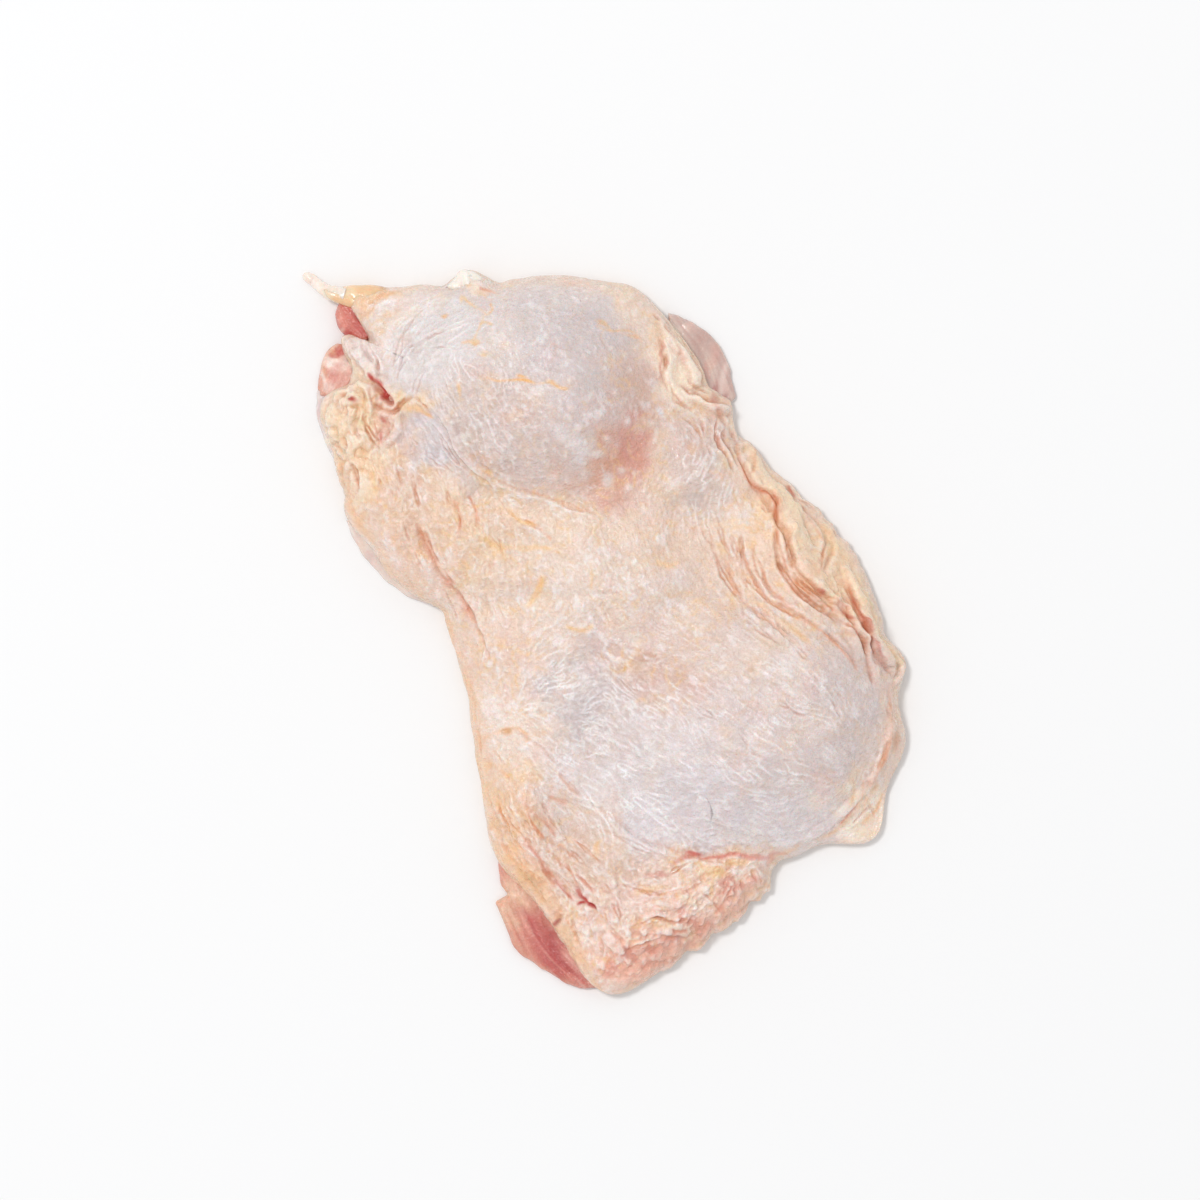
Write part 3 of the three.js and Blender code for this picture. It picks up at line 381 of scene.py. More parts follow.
# Colours as the eye sees them, 0..255. (u, v), half length mm, half width mm, turn, softness, strength, colour
TINTS = [
    (480, 420, 36, 26, -20, .5, 1.0, (222, 192, 174)),
    (560, 365, 29, 22, -10, .5, 1.0, (215, 198, 192)),
    (445, 345, 20, 13, 15, .6, 1.0, (226, 213, 206)),
    (400, 320, 10, 5, 35, .6, .9, (238, 219, 206)),
    (560, 300, 26, 5, 0, .7, .7, (224, 207, 199)),
    (505, 345, 6, 10, 0, .8, .5, (229, 209, 196)),
    (655, 330, 9, 12, 25, .7, .9, (231, 204, 184)),
    (690, 355, 6, 14, 30, .6, .9, (229, 198, 178)),
    (628, 395, 9, 12, 0, .7, .8, (222, 188, 176)),
    (560, 440, 20, 10, -10, .7, .7, (221, 198, 189)),
    (478, 420, 10, 12, -20, .6, .8, (216, 195, 185)),
    (434, 452, 6, 11, 35, .6, .8, (216, 203, 202)),
    (634, 441, 12, 5.4, 66, .75, .95, (211, 146, 132)),
    (612, 462, 10, 6, 52, .8, .7, (221, 172, 152)),
    (612, 493, 8, 4, 35, .8, .6, (224, 178, 160)),
    (665, 440, 7, 13, 0, .7, .8, (237, 205, 181)),
    (703, 487, 9.5, 13, 0, .6, .95, (213, 190, 178)),
    (690, 425, 7, 6, 0, .7, .7, (228, 200, 186)),
    (745, 470, 4, 10, 30, .7, .8, (232, 202, 182)),
    (470, 550, 17, 16, -20, .6, .95, (238, 208, 181)),
    (530, 520, 16, 7, -10, .7, .9, (239, 210, 184)),
    (590, 545, 16, 8, -10, .7, .8, (238, 213, 191)),
    (610, 590, 24, 13, -15, .7, .8, (232, 207, 189)),
    (545, 610, 12, 10, 0, .7, .6, (238, 214, 196)),
    (705, 560, 14, 11, -15, .7, .9, (236, 207, 184)),
    (745, 610, 14, 9, -40, .7, .8, (235, 205, 184)),
    (790, 570, 12, 26, 32, .6, .9, (243, 214, 190)),
    (845, 610, 7, 20, 28, .6, .9, (248, 214, 178)),
    (890, 668, 5, 6, 0, .7, .8, (236, 206, 184)),
    (398, 520, 12, 24, 30, .6, .95, (232, 196, 168)),
    (376, 540, 6, 18, 38, .7, .8, (239, 208, 189)),
    (420, 590, 8, 12, 40, .7, .8, (238, 207, 187)),
    (450, 625, 10, 12, 25, .7, .8, (240, 212, 194)),
    (350, 430, 8, 17, 8, .6, .95, (248, 224, 190)),
    (352, 480, 6, 12, 15, .7, .8, (246, 217, 190)),
    (384, 425, 4, 7, 10, .7, .8, (232, 178, 148)),
    (366, 362, 5, 7, -20, .6, .9, (236, 214, 204)),
    (372, 297, 9, 3.2, 3, .5, .95, (241, 208, 172)),
    (348, 292, 3, 2.5, 0, .6, .9, (243, 216, 186)),
    (472, 279, 5, 3, 0, .6, .95, (246, 226, 208)),
    (488, 284, 3, 2, 0, .6, .8, (242, 205, 172)),
    (622, 293, 7, 3.5, -25, .6, .8, (240, 214, 190)),
    (740, 715, 38, 27, -30, .45, 1.0, (225, 204, 195)),
    (650, 740, 18, 15, -20, .6, .9, (227, 210, 204)),
    (572, 690, 14, 13, 0, .6, .95, (212, 196, 190)),
    (620, 790, 20, 9, -25, .6, .9, (223, 208, 202)),
    (720, 818, 26, 9, 0, .6, .95, (219, 206, 204)),
    # next entry: darker over the lower lobe's right flank, painted shade
    (845, 705, 10, 17, 5, .6, .95, (217, 197, 189)),
    (785, 680, 12, 8, -35, .7, .6, (229, 208, 196)),
    # next entry: pinker and darker over the dent, partly its own colour and partly painted shade
    (650, 662, 13, 9, -10, .75, .9, (227, 194, 180)),
    (700, 640, 12, 7, -35, .7, .6, (230, 205, 190)),
    # next entry: a painted highlight on the bump's top
    (648, 745, 4, 3.5, 0, .8, .7, (238, 224, 217)),
    (500, 660, 12, 14, 12, .7, .8, (237, 212, 196)),
    (492, 730, 9, 18, 8, .7, .9, (240, 212, 190)),
    (478, 760, 4, 20, 9, .7, .7, (238, 205, 182)),
    (515, 790, 9, 16, 24, .6, .9, (234, 200, 171)),
    (530, 850, 9, 18, 33, .6, .9, (240, 189, 138)),
    (544, 828, 6, 14, 33, .8, .7, (229, 182, 146)), (551, 800, 2.4, 1.2, 25, .9, .6, (226, 150, 108)), (556, 828, 4, 6, 33, .9, .4, (228, 182, 152)),
    (552, 900, 6, 18, 33, .7, .8, (233, 186, 160)),
    (585, 850, 10, 12, 33, .7, .8, (232, 203, 187)),
    (560, 800, 8, 8, 0, .7, .6, (229, 208, 198)),
    (640, 895, 26, 12, 10, .6, .95, (237, 204, 186)),
    (600, 960, 10, 8, 0, .6, .9, (238, 204, 187)),
    (655, 950, 16, 7, 22, .7, .85, (254, 190, 162)),
    (718, 902, 10, 8, 35, .7, .85, (230, 187, 168)),
    (745, 880, 6, 5, 30, .7, .7, (235, 200, 178)),
    (700, 872, 10, 3, 5, .8, .6, (240, 208, 172)),
    (862, 808, 7, 8, -30, .6, .9, (232, 205, 188)),
    (882, 745, 4, 14, -15, .7, .6, (228, 204, 188)),
    # The lighter entries below for the skirt, the ruffles, the bottom right, the lower lobe's foot and the left edge,
    # which face away from the key, are painted fill light
    (862, 812, 8, 7, -30, .6, .9, (252, 232, 212)),
    (690, 355, 6, 13, 30, .6, .8, (244, 218, 194)),
    (712, 402, 6, 3, 20, .7, .8, (246, 220, 194)),
    (852, 592, 5, 16, 28, .8, .5, (249, 216, 180)),
    (718, 904, 12, 8, 35, .7, .85, (255, 217, 193)),
    (720, 826, 26, 7, 0, .7, .8, (232, 217, 212)),
    (690, 358, 6, 12, 30, .7, .8, (252, 226, 198)),
    (374, 546, 4, 12, 38, .7, .8, (254, 234, 226)),
    (520, 410, 9, 7, 0, .8, .6, (219, 191, 174)),
    (636, 438, 9, 3.8, 66, .8, .5, (218, 136, 126)),
    (606, 466, 8, 5, 55, .8, .55, (226, 167, 137)),
    (640, 390, 8, 8, 0, .8, .6, (218, 184, 166)),
    (775, 515, 6, 8, 30, .7, .8, (245, 210, 176)),
    # next entry: pinker and darker over the dent, partly its own colour and partly painted shade
    (650, 662, 12, 8, -10, .8, .75, (212, 177, 159)),
    (720, 640, 12, 7, -35, .8, .6, (221, 194, 177)),
    (500, 665, 9, 9, 0, .8, .65, (229, 192, 171)),
    (705, 435, 8, 6, 0, .8, .7, (218, 188, 174)),
    (705, 560, 12, 8, -15, .8, .6, (226, 195, 173)),
    (375, 297, 6, 2.4, 0, .8, .9, (238, 188, 140)), (384, 297, 6, 3.2, 35, .7, .85, (238, 190, 146)), (371, 308, 6, 1.3, 38, .8, .6, (230, 172, 128)),
    (585, 850, 9, 8, -30, .8, .6, (219, 191, 170)),
    (492, 726, 7, 12, 0, .8, .8, (240, 218, 202)),
    (384, 428, 3, 5, -15, .8, .6, (243, 212, 192)),
    (406, 410, 4.5, 3.0, 35, .7, .75, (246, 216, 180)), (418, 406, 4.0, 2.4, -20, .8, .6, (243, 208, 166)),
]
# Stripes: points (u, v), half width mm, strength, colour
STRIPES = [
    # yellow fat that shows in fine branches through the upper lobe's skin
    ([(464, 298), (468, 303), (474, 308), (483, 313), (488, 319)], 0.26, .60, (240, 200, 142)), ([(488, 312), (484, 322), (480, 332), (475, 342), (468, 344)], 0.26, .50, (240, 202, 146)), ([(480, 322), (488, 326), (496, 328)], 0.22, .40, (240, 204, 150)),
    ([(462, 346), (471, 345), (479, 349)], 0.34, .60, (240, 200, 142)), ([(478, 358), (486, 355), (494, 358)], 0.28, .50, (240, 202, 146)), ([(487, 319), (493, 313), (491, 305)], 0.24, .60, (238, 194, 132)),
    ([(480, 327), (488, 325), (494, 329)], 0.24, .55, (238, 196, 136)), ([(487, 380), (499, 384), (514, 383), (526, 383), (538, 387)], 0.24, .65, (238, 190, 128)),
    ([(538, 387), (550, 386), (561, 391), (570, 392)], 0.24, .55, (238, 194, 136)), ([(462, 384), (461, 392), (462, 400)], 0.24, .45, (238, 200, 146)),
    ([(596, 327), (602, 331), (612, 333), (626, 332), (638, 336)], 0.24, .50, (238, 194, 140)), ([(604, 332), (601, 340), (606, 350)], 0.20, .35, (236, 200, 158)),
    # the skirt and the band beside the lower lobe
    ([(880, 776), (868, 796), (852, 812), (836, 829), (812, 842)], 0.5, .40, (238, 190, 138)), ([(850, 776), (853, 790), (847, 806)], 0.5, .45, (238, 192, 136)),
    ([(856, 802), (848, 813), (838, 825)], 0.25, .60, (222, 116, 84)), ([(884, 792), (872, 812), (860, 824)], 0.30, .45, (236, 182, 128)), ([(862, 780), (860, 796), (852, 808)], 0.22, .50, (232, 172, 116)),
    ([(806, 842), (790, 852), (774, 860)], 0.5, .5, (236, 186, 140)),
    ([(742, 443), (750, 462), (768, 486), (788, 516), (806, 548)], 2.4, .60, (248, 218, 180)),
    ([(812, 514), (830, 540), (850, 572), (869, 608), (886, 642), (902, 670)], 1.6, .65, (245, 210, 168)),
    ([(850, 566), (858, 588), (868, 612), (878, 636), (890, 660)], 1.0, .45, (250, 220, 186)), ([(752, 452), (765, 478), (784, 504), (796, 520)], 1.2, .55, (250, 222, 190)),
    ([(790, 484), (792, 490), (797, 497)], 0.45, .85, (186, 76, 56)), ([(850, 596), (858, 616), (866, 634)], 0.24, .50, (196, 92, 66)),
    ([(846, 584), (852, 602), (860, 626), (869, 648), (882, 664)], 0.24, .55, (204, 106, 74)),
    ([(774, 520), (778, 548), (792, 578), (815, 600), (842, 620)], 0.30, .55, (216, 136, 92)),
    ([(736, 444), (739, 462), (748, 482), (762, 494), (772, 506), (776, 526)], 0.34, .80, (206, 118, 78)), ([(768, 498), (774, 508), (776, 524)], 0.7, .45, (216, 136, 92)),
    ([(748, 446), (753, 456), (752, 466), (750, 476)], 0.28, .60, (222, 148, 104)), ([(798, 505), (806, 520), (814, 531), (822, 544)], 0.28, .50, (228, 164, 120)),
    ([(783, 492), (800, 508), (818, 524), (834, 540)], 0.35, .40, (232, 172, 128)), ([(812, 526), (820, 542), (820, 560), (814, 576)], 0.28, .50, (228, 158, 114)),
    ([(758, 560), (772, 592), (800, 616), (832, 642), (858, 672)], 0.30, .50, (222, 150, 108)),
    ([(742, 545), (748, 572), (764, 598), (790, 615), (820, 632), (846, 656)], 0.28, .50, (226, 156, 112)), ([(724, 560), (734, 588), (752, 610), (776, 628), (800, 648)], 0.28, .40, (230, 170, 130)),
    ([(760, 520), (776, 560), (800, 592), (834, 622), (862, 650)], 4.5, .12, (234, 190, 150)),
    ([(332, 440), (338, 480), (353, 520), (382, 562), (422, 602), (450, 645), (465, 692), (474, 742), (482, 792), (493, 832)], 1.8, .50, (240, 196, 156)),
    ([(497, 845), (516, 870), (541, 900), (561, 935), (582, 975)], 2.9, .70, (243, 199, 156)),
    ([(500, 838), (512, 856), (528, 876), (543, 898)], 0.30, .45, (232, 176, 124)), ([(508, 852), (523, 872), (537, 892), (549, 914)], 0.26, .45, (234, 180, 130)), ([(548, 915), (556, 930), (566, 948), (576, 966)], 0.26, .40, (234, 184, 136)),
    ([(506, 835), (530, 866), (556, 905), (576, 945)], 1.4, .35, (240, 200, 160)),
    ([(498, 800), (504, 814), (513, 826)], 0.26, .50, (228, 160, 108)), ([(502, 842), (507, 846), (512, 853)], 0.34, .50, (222, 152, 104)), ([(520, 860), (532, 871), (543, 886)], 0.24, .40, (232, 170, 118)),
    ([(527, 807), (533, 822), (545, 838)], 0.28, .55, (220, 142, 98)), ([(542, 866), (549, 874), (556, 886)], 0.24, .45, (220, 140, 102)), ([(558, 842), (566, 848), (573, 857)], 0.26, .45, (222, 150, 112)),
    ([(568, 833), (584, 846), (601, 861)], 0.24, .40, (226, 160, 122)), ([(576, 872), (585, 880), (595, 891)], 0.26, .50, (218, 134, 104)), ([(538, 810), (549, 820), (558, 834)], 0.30, .30, (222, 150, 108)),
    ([(514, 838), (524, 846), (531, 860)], 0.24, .45, (230, 166, 112)), ([(536, 890), (546, 902), (552, 916)], 0.24, .40, (232, 170, 118)), ([(566, 918), (574, 930), (578, 944)], 0.24, .40, (230, 164, 118)),
    ([(564, 862), (572, 872), (578, 884)], 0.24, .45, (222, 146, 108)), ([(546, 846), (556, 856), (564, 868)], 0.24, .40, (224, 150, 110)),
    ([(524, 834), (532, 846), (541, 858)], 0.22, .50, (212, 128, 92)), ([(546, 865), (553, 874), (560, 884), (568, 893), (575, 900)], 0.26, .65, (202, 104, 80)),
    ([(893, 680), (893, 715), (886, 745), (874, 775), (852, 800)], 0.8, .50, (228, 168, 130)),
    ([(764, 876), (738, 902), (703, 933), (662, 958), (622, 984)], 2.2, .55, (232, 176, 154)),
    ([(740, 668), (766, 650), (784, 640), (806, 628)], 2.4, .30, (236, 206, 176)),
    ([(520, 488), (545, 497), (575, 508), (606, 518)], 0.30, .25, (228, 170, 128)),
    ([(455, 500), (462, 520), (457, 542)], 0.35, .60, (218, 134, 92)), ([(470, 497), (477, 512), (478, 526)], 0.3, .55, (218, 134, 92)),
    ([(418, 520), (428, 545), (444, 575), (462, 595), (474, 622)], 0.9, .45, (226, 156, 126)),
    ([(526, 520), (540, 528), (552, 541)], 0.3, .55, (226, 156, 104)), ([(590, 560), (592, 578), (590, 602)], 0.35, .50, (240, 196, 128)),
    ([(480, 535), (500, 551), (508, 562)], 0.7, .50, (242, 200, 134)), ([(544, 574), (538, 592), (524, 612)], 0.5, .50, (242, 198, 132)),
    ([(565, 626), (582, 630), (594, 624)], 0.45, .60, (242, 198, 132)), ([(500, 545), (520, 549), (545, 548), (566, 556)], 0.4, .45, (242, 204, 146)),
    ([(505, 508), (522, 522), (538, 526)], 0.5, .50, (242, 202, 140)), ([(470, 545), (486, 556), (505, 560)], 0.6, .40, (242, 204, 146)),
    ([(547, 757), (558, 771), (569, 785), (581, 796)], 0.22, .28, (222, 160, 120)), ([(548, 796), (558, 799), (568, 801)], 0.5, .45, (222, 150, 108)), ([(524, 800), (534, 812), (546, 822), (556, 836)], 0.30, .40, (214, 128, 90)),
    ([(482, 738), (498, 732), (516, 727), (530, 735)], 0.4, .45, (238, 186, 130)), ([(486, 762), (500, 768), (512, 778)], 0.4, .40, (238, 186, 130)),
    ([(690, 600), (706, 606), (722, 622)], 0.5, .40, (242, 202, 146)), ([(655, 560), (668, 566), (680, 562)], 0.5, .35, (242, 204, 150)),
]
# Flecks of yellow fat and of red: (u, v), half length, half width, turn, softness, strength, colour
FLECKS = [
    (465, 304, .6, 1.0, 10, .9, .5, (240, 200, 142)), (474, 344, 1.3, .6, 0, .9, .5, (240, 198, 138)), (486, 355, 1.0, .5, 0, .9, .5, (240, 200, 142)),
    (445, 323, 1.3, .5, 28, .9, .65, (236, 186, 128)), (461, 393, .5, 1.4, 0, .9, .5, (238, 200, 146)), (525, 382, 1.4, .6, -15, .9, .7, (238, 192, 134)),
    (600, 330, 1.8, .7, -20, .9, .55, (236, 196, 146)), (630, 334, 2.0, .6, -15, .9, .5, (238, 196, 150)), (552, 388, 1.2, .5, -15, .9, .5, (236, 194, 140)),
    (505, 352, 1.4, 1.0, 0, .9, .3, (236, 202, 170)), (495, 380, 2.0, 1.2, 0, .9, .25, (238, 204, 168)), (515, 420, 2.4, 1.2, 0, .9, .25, (238, 204, 170)),
    (788, 630, 3.6, 1.2, -35, .9, .4, (238, 198, 140)), (800, 640, 2.4, 1.0, -35, .9, .4, (238, 198, 140)), (768, 612, 3.0, 1.0, -35, .9, .4, (238, 198, 150)),
    (505, 731, 1.6, 1.0, 10, .9, .6, (226, 180, 130)), (748, 667, 1.0, .7, -20, .9, .5, (212, 178, 150)), (598, 845, 1.4, .6, 60, .9, .5, (232, 196, 150)),
    (720, 873, 3.4, .9, -12, .9, .55, (242, 205, 150)), (735, 866, 2.6, .9, 10, .9, .5, (242, 205, 150)), (715, 888, .9, 2.6, -20, .9, .5, (240, 200, 150)),
    (650, 890, 4.0, .9, 0, .9, .4, (242, 208, 160)), (665, 925, 3.0, .8, 0, .9, .35, (240, 204, 158)), (690, 900, 2.0, 1.2, 0, .9, .3, (242, 206, 160)),
    (598, 850, .9, 1.4, 0, .9, .4, (240, 196, 140)), (468, 284, 1.0, .5, 0, .9, .5, (232, 180, 130)), (490, 288, 2.0, .5, -25, .9, .6, (226, 150, 110)),
    (423, 413, 2.2, .8, -32, .9, .5, (240, 198, 140)), (431, 420, 1.4, .6, -30, .9, .6, (234, 186, 130)), (410, 410, 2.0, 1.0, 20, .9, .4, (240, 202, 152)),
    (364, 455, 2.2, 3.6, 0, .9, .4, (241, 203, 158)), (340, 430, 2.6, 3.6, 0, .9, .4, (243, 207, 164)), (362, 412, 1.6, 4.0, 0, .9, .35, (243, 208, 168)),
    (900, 740, 1.4, 3.0, -6, .9, .6, (208, 156, 122)), (858, 770, 2.4, 1.6, 30, .9, .3, (238, 208, 170)), (880, 700, 1.0, 3.0, 5, .9, .3, (238, 206, 172)),
    (384, 395, 4.0, 1.0, -52, .8, .98, (200, 74, 64)), (389, 401, 2.2, 1.3, -35, .8, .95, (204, 82, 72)), (373, 383, 1.0, .6, -60, .8, .9, (196, 78, 68)), (356, 408, .7, .6, 0, .8, .9, (180, 68, 54)),
    (381, 437, 1.5, .4, -68, .9, .6, (206, 104, 86)), (383, 421, 1.1, .45, -70, .9, .6, (204, 104, 88)), (375, 428, 2.6, .24, -72, .9, .5, (222, 146, 120)),
    (389, 430, 2.0, .3, -75, .9, .35, (224, 156, 134)),
    (559, 918, 1.5, .6, 68, .8, .9, (172, 62, 50)), (588, 899, 2.7, .7, -44, .8, .95, (198, 66, 56)), (583, 903, 1.3, .5, 5, .8, .95, (194, 58, 50)), (594, 907, 1.4, .6, -30, .8, .95, (196, 60, 52)), (579, 892, 2.0, .6, -55, .9, .6, (196, 96, 82)),
    (561, 908, 1.6, 1.0, 40, .9, .45, (222, 158, 118)), (597, 909, .8, .5, -40, .9, .9, (178, 62, 52)),
    (663, 360, .35, 5.4, 5, .9, .5, (214, 140, 122)), (718, 395, 1.6, 2.4, 0, .9, .5, (196, 120, 106)), (748, 858, 10, .6, 3, .9, .45, (222, 128, 112)),
    (693, 856, 3.0, .7, 10, .8, .7, (208, 96, 84)), (686, 862, 3.0, .7, 30, .9, .5, (214, 120, 104)), (657, 874, 2.6, .8, -10, .9, .45, (214, 128, 112)),
    (718, 858, 6, .5, 2, .9, .5, (218, 118, 104)), (662, 945, 5.0, 1.6, 20, .9, .35, (222, 150, 130)), (640, 948, 3.0, 1.6, 20, .9, .35, (220, 150, 130)),
    (725, 900, 3.4, 2.4, 35, .9, .22, (224, 146, 122)), (700, 925, 4.0, 1.6, 30, .9, .25, (224, 150, 126)), (755, 876, 2.4, 1.2, 30, .9, .35, (224, 150, 130)),
    (772, 862, 1.6, 1.0, 0, .9, .5, (222, 140, 120)), (540, 862, 5.0, .5, -50, .9, .4, (216, 140, 118)), (871, 650, 2.6, .24, -58, .9, .6, (190, 84, 60)), (842, 618, 1.4, .24, -42, .9, .6, (190, 80, 60)), (849, 634, 1.6, .24, -50, .9, .6, (188, 78, 58)), (820, 593, 1.2, .24, -45, .9, .6, (188, 76, 60)),
    (858, 620, 4.2, .22, -66, .9, .50, (190, 84, 62)), (600, 925, 1.6, 1.2, 0, .9, .3, (246, 222, 208)), (562, 434, 3.2, 2.2, -40, .8, .45, (232, 222, 222)), (577, 445, 2.4, 3.2, 10, .8, .50, (234, 224, 222)),
    (595, 455, 1.4, 1.3, 0, .9, .50, (232, 220, 216)), (608, 480, 1.7, 1.7, 0, .8, .55, (226, 210, 204)), (664, 412, 2.4, .8, -52, .9, .55, (232, 226, 228)), (584, 475, 1.5, 1.3, 0, .9, .35, (232, 218, 212)), (560, 945, 1.6, 4.0, 30, .9, .25, (246, 226, 212)),
]

# ---------------------------------------------------------------------------
# The map over the top of the piece
# ---------------------------------------------------------------------------
STEP = 0.2
X0, Y0 = -76.0, -110.0
NX, NY = int(160 / STEP), int(240 / STEP)
GX, GY = np.meshgrid((X0 + STEP * np.arange(NX)).astype(np.float32), (Y0 + STEP * np.arange(NY)).astype(np.float32))
FX, FY = np.fft.rfftfreq(NX, STEP)[None, :], np.fft.fftfreq(NY, STEP)[:, None]


def blur(f, sigma):
    return np.fft.irfft2(np.fft.rfft2(f) * np.exp(-2 * (math.pi * sigma) ** 2 * (FX ** 2 + FY ** 2)), s=f.shape).astype(np.float32)


def noise(seed, sigma):
    fine = np.random.default_rng(seed).standard_normal((1200, 800)).astype(np.float32)
    f = blur(fine, max(sigma, 0.01))
    return f / f.std()


def sample(f, x, y):
    u = np.clip((x - X0) / STEP, 0, NX - 1.001)
    v = np.clip((y - Y0) / STEP, 0, NY - 1.001)
    i, j = u.astype(np.int32), v.astype(np.int32)
    a, b = (u - i), (v - j)
    if f.ndim == 3:
        a, b = a[..., None], b[..., None]
    return (f[j, i] * (1 - a) + f[j, i + 1] * a) * (1 - b) + (f[j + 1, i] * (1 - a) + f[j + 1, i + 1] * a) * b


def smoothstep(lo, hi, v):
    t = np.clip((v - lo) / (hi - lo), 0, 1)
    return t * t * (3 - 2 * t)


def bell(u):
    return np.exp(-0.5 * u * u)


def catmull(points, per=10, closed=False):
    p = np.asarray(points, float)
    n = len(p)
    if closed:
        q = np.concatenate([p[-1:], p, p[:2]])
        spans = n
    else:
        q = np.concatenate([2 * p[:1] - p[1:2], p, 2 * p[-1:] - p[-2:-1]])
        spans = n - 1
    t = (np.arange(per) / per)[:, None]
    out = []
    for i in range(spans):
        a, b, c, d = q[i], q[i + 1], q[i + 2], q[i + 3]
        out.append(0.5 * (2 * b + (c - a) * t + (2 * a - 5 * b + 4 * c - d) * t ** 2 + (3 * b - a - 3 * c + d) * t ** 3))
    if not closed:
        out.append(p[-1:])
    return np.concatenate(out)


def near_curve(points, reach):
    """The part of the map within reach of a curve: slices, distance, share of the way along."""
    c = catmull(at(points), 8)
    lo, hi = c.min(0) - reach, c.max(0) + reach
    i0, i1 = max(0, int((lo[0] - X0) / STEP)), min(NX, int((hi[0] - X0) / STEP) + 2)
    j0, j1 = max(0, int((lo[1] - Y0) / STEP)), min(NY, int((hi[1] - Y0) / STEP) + 2)
    x, y = GX[j0:j1, i0:i1], GY[j0:j1, i0:i1]
    best, share = np.full(x.shape, 1e9, np.float32), np.zeros(x.shape, np.float32)
    a, b = c[:-1], c[1:]
    for k in range(len(a)):
        d = b[k] - a[k]
        t = np.clip(((x - a[k, 0]) * d[0] + (y - a[k, 1]) * d[1]) / max(1e-9, d @ d), 0, 1)
        r = (x - a[k, 0] - t * d[0]) ** 2 + (y - a[k, 1] - t * d[1]) ** 2
        closer = r < best
        best = np.where(closer, r, best)
        share = np.where(closer, (k + t) / len(a), share)
    return (slice(j0, j1), slice(i0, i1)), np.sqrt(best), share


def taper(share, ends=0.2):
    return np.sqrt(np.clip(share / ends, 0, 1) * np.clip((1 - share) / ends, 0, 1))


def blob(u, v, a, b, turn, softness, x=None, y=None):
    """1 inside an ellipse, falling to 0 outside over the softness."""
    (cx, cy), = at([(u, v)])
    t = math.radians(turn) + TURN
    c, s = math.cos(t), math.sin(t)
    x, y = GX if x is None else x, GY if y is None else y
    rho = np.hypot(((x - cx) * c + (y - cy) * s) / a, ((y - cy) * c - (x - cx) * s) / b)
    return 1 - smoothstep(1 - softness, 1 + softness, rho)


def zone_value(spec):
    base, blobs = spec
    f = np.full(GX.shape, base, np.float32)
    for u, v, a, b, turn, soft, value in blobs:
        w = blob(u, v, a, b, turn, soft)
        f += (value - f) * w
    return f


def ring_value(values, deg):
    n = len(values)
    u = np.mod(deg, 360) / (360 / n)
    i = np.floor(u).astype(int)
    t = u - i
    v = np.asarray(values, float)
    a, b, c, d = (v[(i + k) % n] for k in (-1, 0, 1, 2))
    return 0.5 * (2 * b + (c - a) * t + (2 * a - 5 * b + 4 * c - d) * t ** 2 + (3 * b - a - 3 * c + d) * t ** 3)


def edge_radius(deg, narrowest=0.0, frills=False):
    r = ring_value(RADII, deg)
    for centre, w, out in EDGE_FEATURES + (FRILLS if frills else []):
        if w >= narrowest:
            r = r + out * bell((np.mod(deg - centre + 180, 360) - 180) / w)
    return r


def edge_distance(x, y):
    deg = np.degrees(np.arctan2(y - CENTRE[1], x - CENTRE[0]))
    r = edge_radius(deg, 3.9)
    slope = (edge_radius(deg + 2, 3.9) - edge_radius(deg - 2, 3.9)) / math.radians(4)
    return (r - np.hypot(x - CENTRE[0], y - CENTRE[1])) * r / np.hypot(r, slope)


def body_top(x, y):
    deg = np.degrees(np.arctan2(y - CENTRE[1], x - CENTRE[0]))
    d = np.maximum(0, edge_distance(x, y))
    near = smoothstep(4, 34, np.hypot(x - CENTRE[0], y - CENTRE[1]))
    z = 6.5 + (ring_value(EDGE_HEIGHT, deg) - 6.5) * near + BODY_RISE * (1 - np.exp(-((d / BODY_RUN) ** 1.3)))
    for cx, cy, a, b, turn, h, e in MOUNDS:
        c, s = math.cos(math.radians(turn)), math.sin(math.radians(turn))
        rho = np.hypot(((x - cx) * c + (y - cy) * s) / a, ((y - cy) * c - (x - cx) * s) / b)
        z = z + np.where(rho < 1, h * (1 - np.minimum(rho, 1) ** e) ** 2, 0)
    return z


# --- base height ------------------------------------------------------------
inside = edge_distance(GX, GY).astype(np.float32)
H = body_top(GX, GY).astype(np.float32)
for points, width, height in BROAD:
    where, d, share = near_curve(points, width * 3)
    H[where] += height * taper(share) * bell(d / width)
H += 0.45 * noise(11, 5.0) * smoothstep(0, 14, inside) + 0.30 * noise(12, 2.6)
H -= 2.4 * blob(862, 812, 7, 8, -30, .5) + 1.0 * blob(905, 672, 4, 4, 0, .6)

# --- directions of the wrinkles ----------------------------------------------
c2, s2, wsum = (np.zeros(GX[::10, ::10].shape) for _ in range(3))
for stroke in STROKES:
    c = catmull(at(stroke), 5)
    for a, b in zip(c[:-1], c[1:]):
        d, m = b - a, (a + b) / 2
        ang = 2 * math.atan2(d[1], d[0])
        w = np.exp(-((GX[::10, ::10] - m[0]) ** 2 + (GY[::10, ::10] - m[1]) ** 2) / (2 * 5.0 ** 2)) * np.hypot(*d) + 1e-9
        c2 += w * math.cos(ang); s2 += w * math.sin(ang); wsum += w


def enlarge(f):
    j = np.minimum(np.arange(NY) / 10, f.shape[0] - 1.001); i = np.minimum(np.arange(NX) / 10, f.shape[1] - 1.001)
    j0, i0 = j.astype(int), i.astype(int)
    tj, ti = (j - j0)[:, None], (i - i0)[None, :]
    return (f[j0][:, i0] * (1 - ti) + f[j0][:, i0 + 1] * ti) * (1 - tj) + (f[j0 + 1][:, i0] * (1 - ti) + f[j0 + 1][:, i0 + 1] * ti) * tj


flow = 0.5 * np.arctan2(enlarge(s2 / wsum), enlarge(c2 / wsum)) + 0.22 * noise(21, 3.0)
SX, SY = np.cos(flow).astype(np.float32), np.sin(flow).astype(np.float32)


